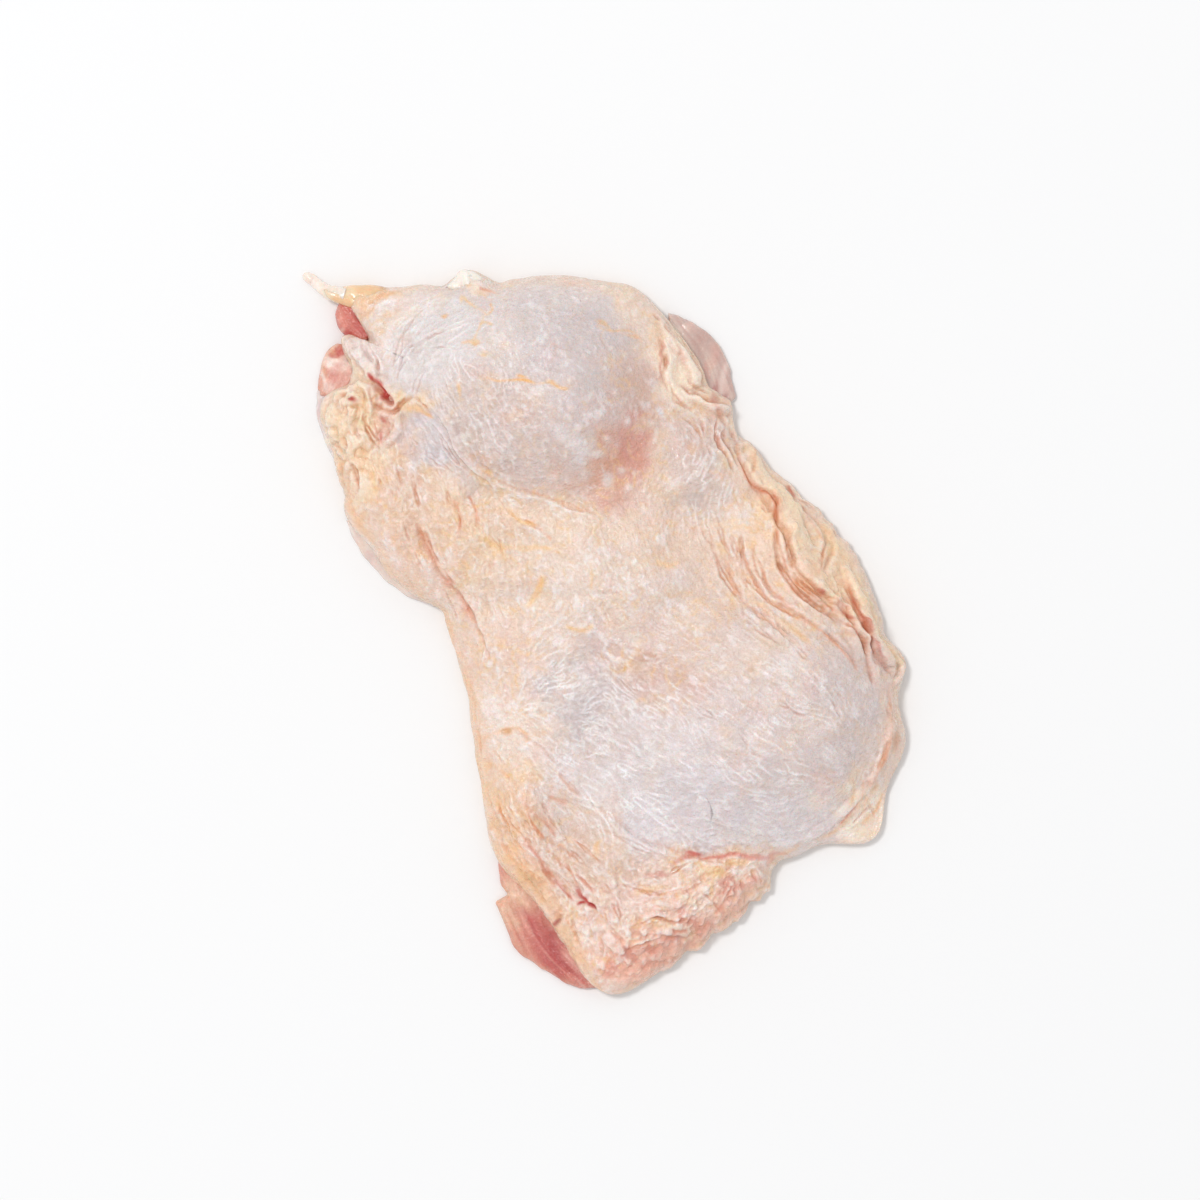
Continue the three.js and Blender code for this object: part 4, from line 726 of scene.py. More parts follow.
def streak(seed, sigma, length, steps=9, field=None):
    """Noise drawn out along the wrinkles' directions."""
    n = noise(seed, sigma)
    DX, DY = field or (SX, SY)
    total = n.copy()
    weight = 1.0
    for way in (1.0, -1.0):
        x, y = GX.copy(), GY.copy()
        px, py = DX * way, DY * way
        for k in range(1, steps + 1):
            x += px * (length / steps); y += py * (length / steps)
            i = np.clip(((x - X0) / STEP + 0.5).astype(np.int32), 0, NX - 1)
            j = np.clip(((y - Y0) / STEP + 0.5).astype(np.int32), 0, NY - 1)
            dx, dy = DX[j, i], DY[j, i]
            flip = np.where(dx * px + dy * py < 0, -1, 1).astype(np.float32)
            px, py = dx * flip, dy * flip
            w = 0.5 + 0.5 * math.cos(math.pi * k / (steps + 1))
            total += w * sample(n, x, y)
            if way > 0:
                weight += 2 * w
    total /= weight
    return total / total.std()


def puffy(n, sharp=0.25):
    """Rounded backs with narrow creases between them."""
    return np.sqrt(n * n + sharp * sharp) - 0.85


large, middle, fine = streak(31, 1.05, 4.5), streak(32, 0.50, 2.6), streak(33, 0.24, 0.9)
middle2 = streak(34, 0.62, 2.0)
aL, aM, aF = zone_value(LARGE_WRINKLES), zone_value(MIDDLE_WRINKLES), zone_value(FINE_WRINKLES)
relief = 0.50 * aL * (0.6 * puffy(large) + 0.35 * large) + 0.40 * aM * (0.55 * puffy(middle) + 0.45 * middle2)
relief += 0.95 * aF * (0.5 * puffy(fine) + 0.5 * fine)


def ruts(n, width):
    """Distance to the lines where n is zero, in mm, as a thin line and the bank beside it."""
    gx, gy = np.gradient(n, STEP, axis=1), np.gradient(n, STEP, axis=0)
    g = np.hypot(gx, gy)
    d = np.abs(n) / (g + 0.12)
    return bell(d / width), bell((d - 2.4 * width) / (1.2 * width)), smoothstep(0.1, 0.7, g)


come_and_go = [np.clip(0.25 + 0.75 * noise(90 + k, 1.5), 0, 1.5) for k in range(4)]
jag = noise(95, 0.28)
aR = zone_value(RUTS)
lines = np.zeros(GX.shape, np.float32)
ridge_line_gloss_and_highlight = np.zeros(GX.shape, np.float32)
raised = zone_value(RIDGED)
for k, (n, width, depth) in enumerate(((streak(35, 0.62, 5.4), 0.17, 0.95), (streak(36, 0.38, 3.6), 0.13, 0.62),
                                       (streak(37, 0.90, 1.0), 0.15, 0.50), (streak(38, 0.50, 0.5), 0.13, 0.30))):
    line, bank, steep = ruts(n + 0.11 * jag, width)
    amount = come_and_go[k] * steep * (aR if k < 2 else aR * zone_value(CELLS))
    relief += depth * amount * ((-0.16 * line + 0.085 * bank) * (1 - raised) + 0.17 * line * raised)
    lines = np.maximum(lines, np.clip(depth * amount * line * (1 - raised), 0, 1))
    ridge_line_gloss_and_highlight = np.maximum(ridge_line_gloss_and_highlight, np.clip(1.3 * depth * amount * line * raised, 0, 1))
pebble_zone = zone_value(CELLS)
grains = smoothstep(0.35, 1.7, 0.75 * noise(46, 0.55) + 0.65 * noise(47, 0.34))
relief += 0.14 * (0.18 + 0.82 * np.minimum(pebble_zone, 1.2)) * grains
rough_zone = np.clip(blob(650, 915, 32, 15, 18, .5) + blob(725, 900, 12, 9, 35, .5), 0, 1)
relief += rough_zone * (0.24 * puffy(noise(41, 0.8)) + 0.17 * puffy(noise(42, 0.4)))
curl_zone = np.clip(blob(350, 430, 9, 18, -12, .5), 0, 1)
relief += curl_zone * (0.50 * puffy(noise(43, 1.1)) + 0.12 * noise(44, 0.5))
curl_line, curl_bank, curl_steep = ruts(noise(43, 1.1) + 0.25 * noise(44, 0.5), 0.20)
relief += curl_zone * curl_steep * (0.12 * curl_bank - 0.30 * curl_line)
lines = np.maximum(lines, 0.9 * curl_zone * curl_steep * curl_line)
relief += 0.018 * noise(45, 0.22)

crease = np.zeros(GX.shape, np.float32)
wobble_x, wobble_y = 0.30 * noise(51, 1.6) + 0.14 * noise(53, 0.6), 0.35 * noise(52, 1.3) + 0.15 * noise(54, 0.6)
for k, (points, width, depth, bank) in enumerate(CREASES):
    where, d, share = near_curve(points, 4.5)
    d = np.abs(d + 0.9 * wobble_x[where])
    t = taper(share, 0.4) * np.clip(1 + 1.2 * wobble_y[where], 0.05, 1.7)
    (mu, mv) = points[len(points) // 2]
    firm = math.hypot((mu - 805) / 100, (mv - 565) / 150) < 1 or math.hypot((mu - 700) / 55, (mv - 395) / 90) < 1 or mv > 870
    width = width * (0.62 if firm else 0.48 if depth < 1 else 0.60)
    t = t * (1.25 if firm else 0.9)
    relief[where] += t * (-0.50 * depth * bell(d / width) + 0.75 * bank * bell((d - 2.6 * width) / (1.7 * width)))
    crease[where] = np.maximum(crease[where], t * min(1, depth) * bell(d / (0.75 * width)))


def side_of(points, where):
    """+1 to the right of the way down along a curve, -1 to its left."""
    c = catmull(at(points), 8)
    x, y = GX[where], GY[where]
    best, side = np.full(x.shape, 1e9, np.float32), np.ones(x.shape, np.float32)
    for a, b in zip(c[:-1], c[1:]):
        d = b - a
        t = np.clip(((x - a[0]) * d[0] + (y - a[1]) * d[1]) / max(1e-9, d @ d), 0, 1)
        r = (x - a[0] - t * d[0]) ** 2 + (y - a[1] - t * d[1]) ** 2
        turn = d[0] * (y - a[1]) - d[1] * (x - a[0])
        side = np.where(r < best, np.sign(turn), side)
        best = np.minimum(best, r)
    return side


for points, step, run, groove in OVERLAPS:
    where, d, share = near_curve(points, 3.2 * run)
    signed = d * side_of(points, where) * (1 if step > 0 else -1) + 0.8 * wobble_x[where]
    t = taper(share, 0.22) * np.clip(1 + 0.5 * wobble_y[where], 0.3, 1.4)
    up = smoothstep(-0.15, 1.15, signed) * np.exp(-np.clip(signed - 1.0, 0, None) / run)
    roll = bell((signed - 1.3) / 0.75)
    relief[where] += t * (abs(step) * (0.72 * up + 0.28 * roll) - groove * bell((signed + 0.10) / 0.30))
    crease[where] = np.maximum(crease[where], t * min(1, 0.28 + 0.8 * groove) * bell((signed + 0.05) / 0.24))
    crease[where] = np.maximum(crease[where], 0.25 * t * min(1, groove) * bell((signed + 0.5) / 0.6))
for k, (points, width, height) in enumerate(ROPES):
    where, d, share = near_curve(points, 3.5)
    t = taper(share, 0.2)
    relief[where] += t * height * np.sqrt(np.clip(1 - (d / (1.25 * width)) ** 2, 0, 1))
    relief[where] -= t * 0.25 * height * bell((d - 1.5 * width) / (0.35 * width))
for u, v, r, h in BUMPS:
    (cx, cy), = at([(u, v)])
    i0, i1 = int((cx - 4 * r - X0) / STEP), int((cx + 4 * r - X0) / STEP) + 2
    j0, j1 = int((cy - 4 * r - Y0) / STEP), int((cy + 4 * r - Y0) / STEP) + 2
    w = (slice(max(0, j0), j1), slice(max(0, i0), i1))
    d = np.hypot(GX[w] - cx, GY[w] - cy) * (1 + 0.25 * wobble_x[w])
    relief[w] += h * bell(d / (0.62 * r))
for u, v, a, b, turn, depth in DENTS:
    relief -= depth * blob(u, v, a, b, turn, .55)

# follicles: small bumps scattered where the skin is stretched
rng = np.random.default_rng(71)
(cx0, cy0), = at([(575, 390)])
for _ in range(150):
    u, v = rng.uniform(480, 660), rng.uniform(292, 500)
    (cx, cy), = at([(u, v)])
    r, h = rng.uniform(0.45, 0.8), rng.uniform(0.05, 0.14)
    i0, j0 = int((cx - X0) / STEP), int((cy - Y0) / STEP)
    n = int(2.5 * r / STEP) + 1
    w = (slice(j0 - n, j0 + n + 1), slice(i0 - n, i0 + n + 1))
    relief[w] += h * bell(np.hypot(GX[w] - cx, GY[w] - cy) / (0.6 * r))
relief = blur(relief, 0.11)

# ---------------------------------------------------------------------------
# Colour over the same map
# ---------------------------------------------------------------------------


def linear(rgb):
    c = np.asarray(rgb, float) / 255.0
    return np.where(c <= 0.04045, c / 12.92, ((c + 0.055) / 1.055) ** 2.4)


colour = np.empty(GX.shape + (3,), np.float32)
colour[:] = linear((236, 208, 190))
wx, wy = 2.2 * noise(61, 2.4) + 0.8 * noise(63, 0.9), 2.2 * noise(62, 2.4) + 0.8 * noise(64, 0.9)
for u, v, a, b, turn, soft, strength, rgb in TINTS:
    w = (strength * blob(u, v, a, b, turn, soft, GX + wx, GY + wy))[..., None]
    colour += (linear(rgb).astype(np.float32) - colour) * w
colour *= np.array([1.0, 1.035, 1.085], np.float32)
high = relief - blur(relief, 1.3)
sharp = relief - blur(relief, 0.42)
sharp = np.clip(sharp / (0.6 * sharp.std() + 0.4 * np.sqrt(blur(sharp * sharp, 3.0) + 1e-6)), -2.2, 2.2)
cav = np.clip(-high / 0.28, 0, 1)
ridge = np.clip(high / 0.28, 0, 1)
# creases tinted darker and pinker: partly their own colour, partly painted shade
mean = colour.mean(-1, keepdims=True)
warmth = np.clip((colour[..., 0] / np.maximum(colour[..., 2], 1e-3) - 1.15) / 0.5, 0, 1)[..., None]
cavity_colour_and_shade = linear((222, 168, 138)) * warmth + linear((206, 176, 172)) * (1 - warmth)
colour += (cavity_colour_and_shade.astype(np.float32) - colour) * (0.30 * cav[..., None])
# whiter on the ridges of the relief: painted highlight
colour += (linear((247, 236, 230)).astype(np.float32) - colour) * (0.26 * ridge[..., None])
# fat that shows yellow between the wrinkles
vein_line, _, vein_steep = ruts(noise(101, 1.25) + 0.35 * noise(102, 0.5), 0.26)
vein2, _, steep2 = ruts(noise(103, 0.8) + 0.3 * noise(104, 0.35), 0.18)
veins = np.clip(vein_line * vein_steep * np.clip(noise(105, 2.2) + 0.2, 0, 1.3) + 0.7 * vein2 * steep2 * np.clip(noise(106, 1.6), 0, 1.2), 0, 1)
fat = smoothstep(1.0, 1.9, noise(107, 0.9) + 0.5 * noise(108, 0.35)) * np.clip(0.4 + 0.6 * noise(109, 3.0), 0, 1)
fat_tint = linear((242, 200, 142)).astype(np.float32)
colour += (fat_tint - colour) * (np.clip(0.50 * veins + 0.45 * fat, 0, 0.8)[..., None] * (0.12 + 0.88 * warmth) * (1 - 0.7 * ridge[..., None]))
# paler on the raised backs of the wrinkles and on the grains: painted highlight
pale_painted_highlight = np.clip(smoothstep(0.3, 1.8, middle2 + 0.6 * fine) * np.clip(0.55 + 0.5 * noise(110, 2.0), 0, 1) + 0.55 * grains * (0.15 + 0.85 * np.minimum(pebble_zone, 1)), 0, 1)
colour += (linear((246, 240, 240)).astype(np.float32) - colour) * (0.42 * pale_painted_highlight[..., None])
groove_line_colour_and_shade = lines[..., None]
# whiter along the raised lines: painted highlight
colour += (linear((250, 246, 246)).astype(np.float32) - colour) * (0.62 * ridge_line_gloss_and_highlight[..., None])
# orange in warm zones and pinkish tan in cool ones along the groove lines: partly their own colour, partly painted
# shade
colour += ((linear((236, 172, 118)) * warmth + linear((206, 166, 158)) * (1 - warmth)).astype(np.float32) - colour) * (0.40 * groove_line_colour_and_shade)
for u, v, r, h in BUMPS:
    if h < 0.6 and r < 2 and v < 500:
        w = (0.55 * min(1, h / 0.3) * blob(u, v, 0.85 * r, 0.85 * r, 0, .6, GX + 0.2 * wx, GY + 0.2 * wy))[..., None]
        colour += (linear((236, 216, 209)).astype(np.float32) - colour) * w
# brown-orange along the creases and fold grooves: partly their own colour, partly painted shade
crease_colour_and_shade = np.clip(crease, 0, 1)[..., None]
colour += (linear((212, 124, 82)).astype(np.float32) - colour) * (0.62 * crease_colour_and_shade * (0.40 + 0.60 * warmth))
# lighter on fine raised detail and darker in fine hollows: painted light and shade
colour *= 1 + 0.020 * sharp[..., None] * np.array([0.8, 1.0, 1.15], np.float32)
blotch = np.clip(noise(121, 1.5) + 0.5 * noise(122, 0.5) - 0.15, 0, 1) * np.clip(blob(655, 948, 17, 6, 22, .6) + blob(722, 900, 12, 8, 35, .6), 0, 1) * (1 - 0.8 * ridge)
colour += (linear((212, 112, 92)).astype(np.float32) - colour) * (0.50 * blotch[..., None])
glint = rough_zone * smoothstep(0.35, 1.0, ridge) * np.clip(0.5 + 0.6 * noise(123, 1.2), 0, 1)
colour += (linear((252, 244, 238)).astype(np.float32) - colour) * (0.45 * glint[..., None])
mottle = 0.5 * noise(65, 1.1) + 0.5 * noise(66, 0.5)
colour *= 1 + 0.018 * mottle[..., None] * np.array([0.6, 1.0, 1.5], np.float32)
pink = np.clip(noise(67, 1.6) - 0.7, 0, 1.5)[..., None]
colour *= 1 - 0.035 * pink * np.array([0.1, 1.0, 1.0], np.float32)
yellow = np.clip(noise(68, 1.3) - 0.6, 0, 1.5)[..., None] * (0.3 + 0.7 * warmth)
colour *= 1 - 0.05 * yellow * np.array([0.0, 0.35, 1.5], np.float32)
def warmer(rgb):
    return (rgb[0] + 3, rgb[1] - 4, rgb[2] - 8) if rgb[1] > 1.25 * rgb[2] else rgb


for points, width, strength, rgb in STRIPES:
    rgb = warmer(rgb)
    where, d, share_of = near_curve(points, 3 * width + 1.5)
    d = np.abs(d + min(1, width) * 0.9 * wobble_x[where])
    w = np.clip(strength * bell(d / width) * taper(share_of, 0.15) * (1 + 0.8 * wobble_y[where]), 0, 1)[..., None]
    colour[where] += (linear(rgb).astype(np.float32) - colour[where]) * w
for u, v, a, b, turn, soft, strength, rgb in FLECKS:
    rgb = warmer(rgb)
    w = (min(1, 1.25 * strength) * blob(u, v, a, b, turn, 0.75 * soft, GX + 0.30 * wx, GY + 0.30 * wy))[..., None]
    colour += (linear(rgb).astype(np.float32) - colour) * w
colour = np.clip(colour, 0.01, 0.98)
wet = np.clip(0.5 + 0.4 * ridge_line_gloss_and_highlight + 0.18 * noise(69, 1.8) + 0.12 * noise(70, 0.6) + 0.25 * ridge - 0.2 * rough_zone, 0, 1)

# ---------------------------------------------------------------------------
# Rings
# ---------------------------------------------------------------------------


def spine_point(share):
    y = SPINE[0][1] + (SPINE[-1][1] - SPINE[0][1]) * share
    return np.interp(y, [p[1] for p in SPINE], [p[0] for p in SPINE]), y


def smooth_ring(v, sigma):
    n = len(v)
    f = np.fft.rfftfreq(n)
    return np.fft.irfft(np.fft.rfft(v) * np.exp(-2 * (math.pi * sigma * f) ** 2), n)


def stations(count, inset=0.0, narrowest=0.0, frills=True):
    deg = np.linspace(0, 360, 14401)
    r = edge_radius(deg, narrowest, frills) - inset
    x, y = CENTRE[0] + r * np.cos(np.radians(deg)), CENTRE[1] + r * np.sin(np.radians(deg))
    run = np.concatenate([[0], np.cumsum(np.hypot(np.diff(x), np.diff(y)))])
    want = np.arange(count) * run[-1] / count
    return np.interp(want, run, x), np.interp(want, run, y), np.interp(want, run, deg), run[-1]


def close_spine(ring_y, start, faces, flip):
    """Joins the two sides of the last ring, stepping up both together."""
    n = len(ring_y)
    top, foot = int(np.argmax(ring_y)), int(np.argmin(ring_y))
    left, right = foot, foot
    left_end, right_end = (top - n, top) if top > foot else (top, top + n)
    y = lambda k: ring_y[k % n]
    while left > left_end or right < right_end:
        step_right = left <= left_end or (right < right_end and y(right + 1) < y(left - 1))
        nxt = right + 1 if step_right else left - 1
        tri = (start + left % n, start + right % n, start + nxt % n)
        if len(set(tri)) == 3:
            faces.append(tri if not flip else (tri[0], tri[2], tri[1]))
        if step_right:
            right = nxt
        else:
            left = nxt


def make_mesh(name, verts, quads, tris, attributes):
    mesh = bpy.data.meshes.new(name)
    tris = np.asarray(tris, np.int64).reshape(-1, 3)
    quads = np.asarray(quads, np.int64).reshape(-1, 4)
    loops = np.concatenate([quads.ravel(), tris.ravel()])
    starts = np.concatenate([np.arange(len(quads)) * 4, len(quads) * 4 + np.arange(len(tris)) * 3])
    mesh.vertices.add(len(verts)); mesh.vertices.foreach_set("co", np.asarray(verts, np.float32).ravel())
    mesh.loops.add(len(loops)); mesh.loops.foreach_set("vertex_index", loops.astype(np.int32))
    mesh.polygons.add(len(starts)); mesh.polygons.foreach_set("loop_start", starts.astype(np.int32))
    mesh.update(calc_edges=True)
    mesh.validate(clean_customdata=False)
    mesh.polygons.foreach_set("use_smooth", np.ones(len(mesh.polygons), bool))
    for key, value in attributes.items():
        value = np.asarray(value, np.float32)
        if value.ndim == 2:
            a = mesh.attributes.new(key, "FLOAT_COLOR", "POINT")
            a.data.foreach_set("color", np.concatenate([value, np.ones((len(value), 1), np.float32)], 1).ravel())
        else:
            a = mesh.attributes.new(key, "FLOAT", "POINT")
            a.data.foreach_set("value", value.ravel())
    obj = bpy.data.objects.new(name, mesh)
    bpy.context.scene.collection.objects.link(obj)
    return obj


def ring_quads(rows, n, first=0):
    i = np.arange(n)
    j = (i + 1) % n
    out = []
    for k in range(rows - 1):
        a, b = first + k * n, first + (k + 1) * n
        out.append(np.stack([a + i, a + j, b + j, b + i], 1))
    return np.concatenate(out)


def metres(p):
    p = np.array(p, float)
    p[..., 0] += SHIFT[0]; p[..., 1] += SHIFT[1]
    return p * 0.001


def ring_normals(P):
    along = np.roll(P, -2, 1) - np.roll(P, 2, 1)
    across = np.empty_like(P)
    across[1:-1] = P[2:] - P[:-2]; across[0] = P[1] - P[0]; across[-1] = P[-1] - P[-2]
    n = np.cross(along, across)
    return n / np.maximum(np.linalg.norm(n, axis=-1, keepdims=True), 1e-9)


AROUND = 1800
ACROSS = 250
ARC, TUCK, HEM = ((15, 8, 14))

sx, sy, sdeg, perimeter = stations(AROUND)
pitch = perimeter / AROUND
ysm = smooth_ring(sy, 9.0 / pitch)
share = (ysm - ysm.min()) / (ysm.max() - ysm.min())
lowest, highest = int(np.argmin(ysm)), int(np.argmax(ysm))
turned = np.roll(share, -lowest)
k_top = (highest - lowest) % AROUND
turned[:k_top + 1] = np.maximum.accumulate(turned[:k_top + 1])
turned[k_top:] = np.maximum.accumulate(turned[k_top:][::-1])[::-1]
share = np.clip(smooth_ring(np.roll(turned, lowest), 1.5 / pitch), 0, 1)
fx, fy = spine_point(share)
ux, uy = fx - sx, fy - sy
length = np.hypot(ux, uy)
ux, uy = ux / length, uy / length
wave = smooth_ring(np.random.default_rng(81).standard_normal(AROUND), 5.0 / pitch); wave /= wave.std()
wave2 = smooth_ring(np.random.default_rng(82).standard_normal(AROUND), 2.2 / pitch); wave2 /= wave2.std()
nose = np.clip(NOSE + 0.55 * wave + 0.2 * wave2, 1.6, 4.6)
tuck = np.clip(UNDER + 0.5 * wave2, 1.2, 3.6)
over = np.zeros(AROUND)
for centre, w, lip, reach in OVERHANGS:
    d = np.abs(np.mod(sdeg - centre + 180, 360) - 180)
    k = 1 - smoothstep(0.75 * w, 1.2 * w, d)
    nose, tuck, over = nose + (lip - nose) * k, tuck + (reach - tuck) * k, np.maximum(over, k)
hem = np.clip(9.0 + 2.4 * smooth_ring(np.random.default_rng(83).standard_normal(AROUND), 7.0 / pitch) * 12 + 0.8 * wave2, 6.5, 15.0)

rows, q_rows, top_flag, q_in = [], [], [], []


def row(s, z, arc, top):
    x, y = sx + ux * s, sy + uy * s
    rows.append(np.stack([x, y, z if not np.isscalar(z) else np.full(AROUND, z)], 1))
    q_rows.append(np.stack([sx + ux * arc, sy + uy * arc], 1))
    top_flag.append(np.full(AROUND, top, float))
    q_in.append(np.broadcast_to(arc, (AROUND,)))


# inner surface, spine to rim (hidden under the skin)
for t in np.linspace(1, 0, 7):
    s = RIM + 2.0 + (length - 0.9 - RIM - 2.0) * t
    x, y = sx + ux * s, sy + uy * s
    row(s, np.maximum(2.4, sample(H, x, y) - SKIN_THICKNESS), s, -1)
inner_rows = len(rows)
row(hem * 0.65, 1.75, hem * 0.65, -1)
row(hem, 1.25, hem, -1)
row(hem + 0.25, 0.75, hem + 0.2, -1)
# underside of the hem, outward
for t in np.linspace(0, 1, HEM):
    s = hem + (tuck - hem) * t
    row(s, 0.30 - 0.1 * np.sin(math.pi * t), -(RIM + 4.0) - (s - tuck), 0)
# tucked part: from the ground up to the nose
zf = 0.2
for t in np.linspace(0, 1, TUCK + 1)[1:]:
    a = math.radians(90 * (1 - t))
    s = tuck * ((1 - over) * (1 - math.cos(a)) + over * math.sin(a))
    row(s, nose - (nose - zf) * ((1 - over) * math.sin(a) + over * (1 - math.cos(a))), -(0.5 * RIM + 3.2) * 1.0 - (1 - t) * 1.8, 0.3)
# rounded rim
xr, yr = sx + ux * RIM, sy + uy * RIM
Hr = sample(H, xr, yr)
arc_len = 0.5 * math.pi * np.sqrt((RIM ** 2 + (Hr - nose) ** 2) / 2)
for t in np.linspace(0, 1, ARC + 1)[1:]:
    a = math.radians(90 * t)
    s = RIM * (1 - math.cos(a))
    x, y = sx + ux * s, sy + uy * s
    row(s, nose + (sample(H, x, y) - nose) * math.sin(a), RIM - arc_len * (1 - t), 0.3 + 0.7 * t)
# top
for t in np.linspace(0, 1, ACROSS + 1)[1:]:
    s = RIM + (length - 0.45 - RIM) * t
    x, y = sx + ux * s, sy + uy * s
    row(s, sample(H, x, y), s, 1)

P = np.array(rows); Q = np.array(q_rows); F = np.array(top_flag); Q_IN = np.array(q_in)
N = ring_normals(P)
NS = N.copy()
for k in range(len(N)):                       # smooth the directions along the edge
    if F[k, 0] < 1:
        for axis in range(3):
            NS[k, :, axis] = smooth_ring(N[k, :, axis], 1.2 / pitch)
hx, hy = (np.gradient(blur(H, 0.8), STEP, axis=k) for k in (1, 0))
TN = np.stack([-sample(hx, Q[..., 0], Q[..., 1]), -sample(hy, Q[..., 0], Q[..., 1]), np.ones(Q.shape[:2])], -1)
TN /= np.linalg.norm(TN, axis=-1, keepdims=True)
onto = smoothstep(RIM, RIM + 4, Q_IN)[..., None] * (F >= 1)[..., None]
NS = NS * (1 - onto) + TN * onto
NS /= np.linalg.norm(NS, axis=-1, keepdims=True)
R = sample(relief, Q[..., 0], Q[..., 1])
gain = np.where(F < 0, 0, np.where(F == 0, 0.25, np.where(F < 1, 0.55 + 0.45 * F, 1.0)))
P = P + NS * (R * gain)[..., None]
P[..., 2] = np.maximum(P[..., 2], 0.0)
C = sample(colour, Q[..., 0], Q[..., 1])
W = sample(wet, Q[..., 0], Q[..., 1])
# the turned-under part is paler and yellower
under = np.clip(1 - F, 0, 1)[..., None]
C = C + (linear((238, 210, 180)) - C) * (0.45 * under)
flat = P.reshape(-1, 3)
tris = []
close_spine(P[-1, :, 1], (len(P) - 1) * AROUND, tris, False)
close_spine(P[0, :, 1], 0, tris, True)
skin = make_mesh("skin_draped", metres(flat), ring_quads(len(P), AROUND), tris,
                 {"tint": C.reshape(-1, 3), "wet": W.ravel()})
print("skin", len(skin.data.vertices), len(skin.data.polygons))


# ---------------------------------------------------------------------------
# Materials
# ---------------------------------------------------------------------------


def raw_material(name, rough=(0.17, 0.44), bump=((0.9, 0.00034), (0.42, 0.00020)), scatter=0.0013, weight=0.35,
                 radius=(1.0, 0.42, 0.28), mottle=0.05, coat=0.40, specular=0.5):
    m = bpy.data.materials.new(name)
    m.use_nodes = True
    t = m.node_tree
    n = t.nodes
    n.clear()
    out = n.new("ShaderNodeOutputMaterial")
    s = n.new("ShaderNodeBsdfPrincipled")
    t.links.new(s.outputs["BSDF"], out.inputs["Surface"])
    coords = n.new("ShaderNodeTexCoord")
    tint = n.new("ShaderNodeAttribute"); tint.attribute_name = "tint"
    wetness = n.new("ShaderNodeAttribute"); wetness.attribute_name = "wet"

    def texture(size_mm, detail=2.0):
        x = n.new("ShaderNodeTexNoise")
        x.inputs["Scale"].default_value = 1000.0 / size_mm
        x.inputs["Detail"].default_value = detail
        t.links.new(coords.outputs["Object"], x.inputs["Vector"])
        return x.outputs["Fac"]

    # fine mottling of the colour
    spot = n.new("ShaderNodeMapRange")
    spot.inputs["To Min"].default_value = 1 - mottle
    spot.inputs["To Max"].default_value = 1 + mottle
    spot.inputs["From Min"].default_value = 0.3
    spot.inputs["From Max"].default_value = 0.7
    t.links.new(texture(1.1, 3.0), spot.inputs["Value"])
    scale = n.new("ShaderNodeVectorMath"); scale.operation = "SCALE"
    t.links.new(tint.outputs["Color"], scale.inputs[0])
    t.links.new(spot.outputs["Result"], scale.inputs["Scale"])
    grain_spot = n.new("ShaderNodeMapRange")
    for key, value in (("From Min", 0.32), ("From Max", 0.68), ("To Min", 0.0), ("To Max", 1.0)):
        grain_spot.inputs[key].default_value = value
    t.links.new(texture(0.42, 1.0), grain_spot.inputs["Value"])
    speck = n.new("ShaderNodeMix"); speck.data_type = "RGBA"
    speck.inputs[6].default_value = (1 - 0.5 * mottle, 1 - 1.1 * mottle, 1 - 1.5 * mottle, 1)
    speck.inputs[7].default_value = (1 + 0.5 * mottle, 1 + 1.1 * mottle, 1 + 1.5 * mottle, 1)
    t.links.new(grain_spot.outputs["Result"], speck.inputs[0])
    both = n.new("ShaderNodeVectorMath"); both.operation = "MULTIPLY"
    t.links.new(scale.outputs["Vector"], both.inputs[0])
    t.links.new(speck.outputs[2], both.inputs[1])
    t.links.new(both.outputs["Vector"], s.inputs["Base Color"])
    # roughness: wetter where the map says so, with small dry spots
    r = n.new("ShaderNodeMapRange")
    r.inputs["From Min"].default_value = 0.0
    r.inputs["From Max"].default_value = 1.0
    r.inputs["To Min"].default_value = rough[1]
    r.inputs["To Max"].default_value = rough[0]
    add = n.new("ShaderNodeMath"); add.operation = "ADD"
    part = n.new("ShaderNodeMath"); part.operation = "MULTIPLY_ADD"
    part.inputs[1].default_value = 0.5
    part.inputs[2].default_value = -0.25
    t.links.new(texture(0.7, 2.0), part.inputs[0])
    t.links.new(wetness.outputs["Fac"], add.inputs[0])
    t.links.new(part.outputs[0], add.inputs[1])
    t.links.new(add.outputs[0], r.inputs["Value"])
    t.links.new(r.outputs["Result"], s.inputs["Roughness"])
    # fine crepe
    normal = None
    for size, height in bump:
        b = n.new("ShaderNodeBump")
        b.inputs["Strength"].default_value = 1.0
        b.inputs["Distance"].default_value = height
        t.links.new(texture(size, 3.0), b.inputs["Height"])
        if normal is not None:
            t.links.new(normal, b.inputs["Normal"])
        normal = b.outputs["Normal"]
    if normal is not None:
        t.links.new(normal, s.inputs["Normal"])
        t.links.new(normal, s.inputs["Coat Normal"])
    s.inputs["Subsurface Weight"].default_value = weight
    s.inputs["Subsurface Radius"].default_value = radius
    s.inputs["Subsurface Scale"].default_value = scatter
    s.inputs["Specular IOR Level"].default_value = specular
    s.inputs["Coat Weight"].default_value = coat
    s.inputs["Coat Roughness"].default_value = 0.10
    m.diffuse_color = (0.86, 0.68, 0.58, 1)
    return m


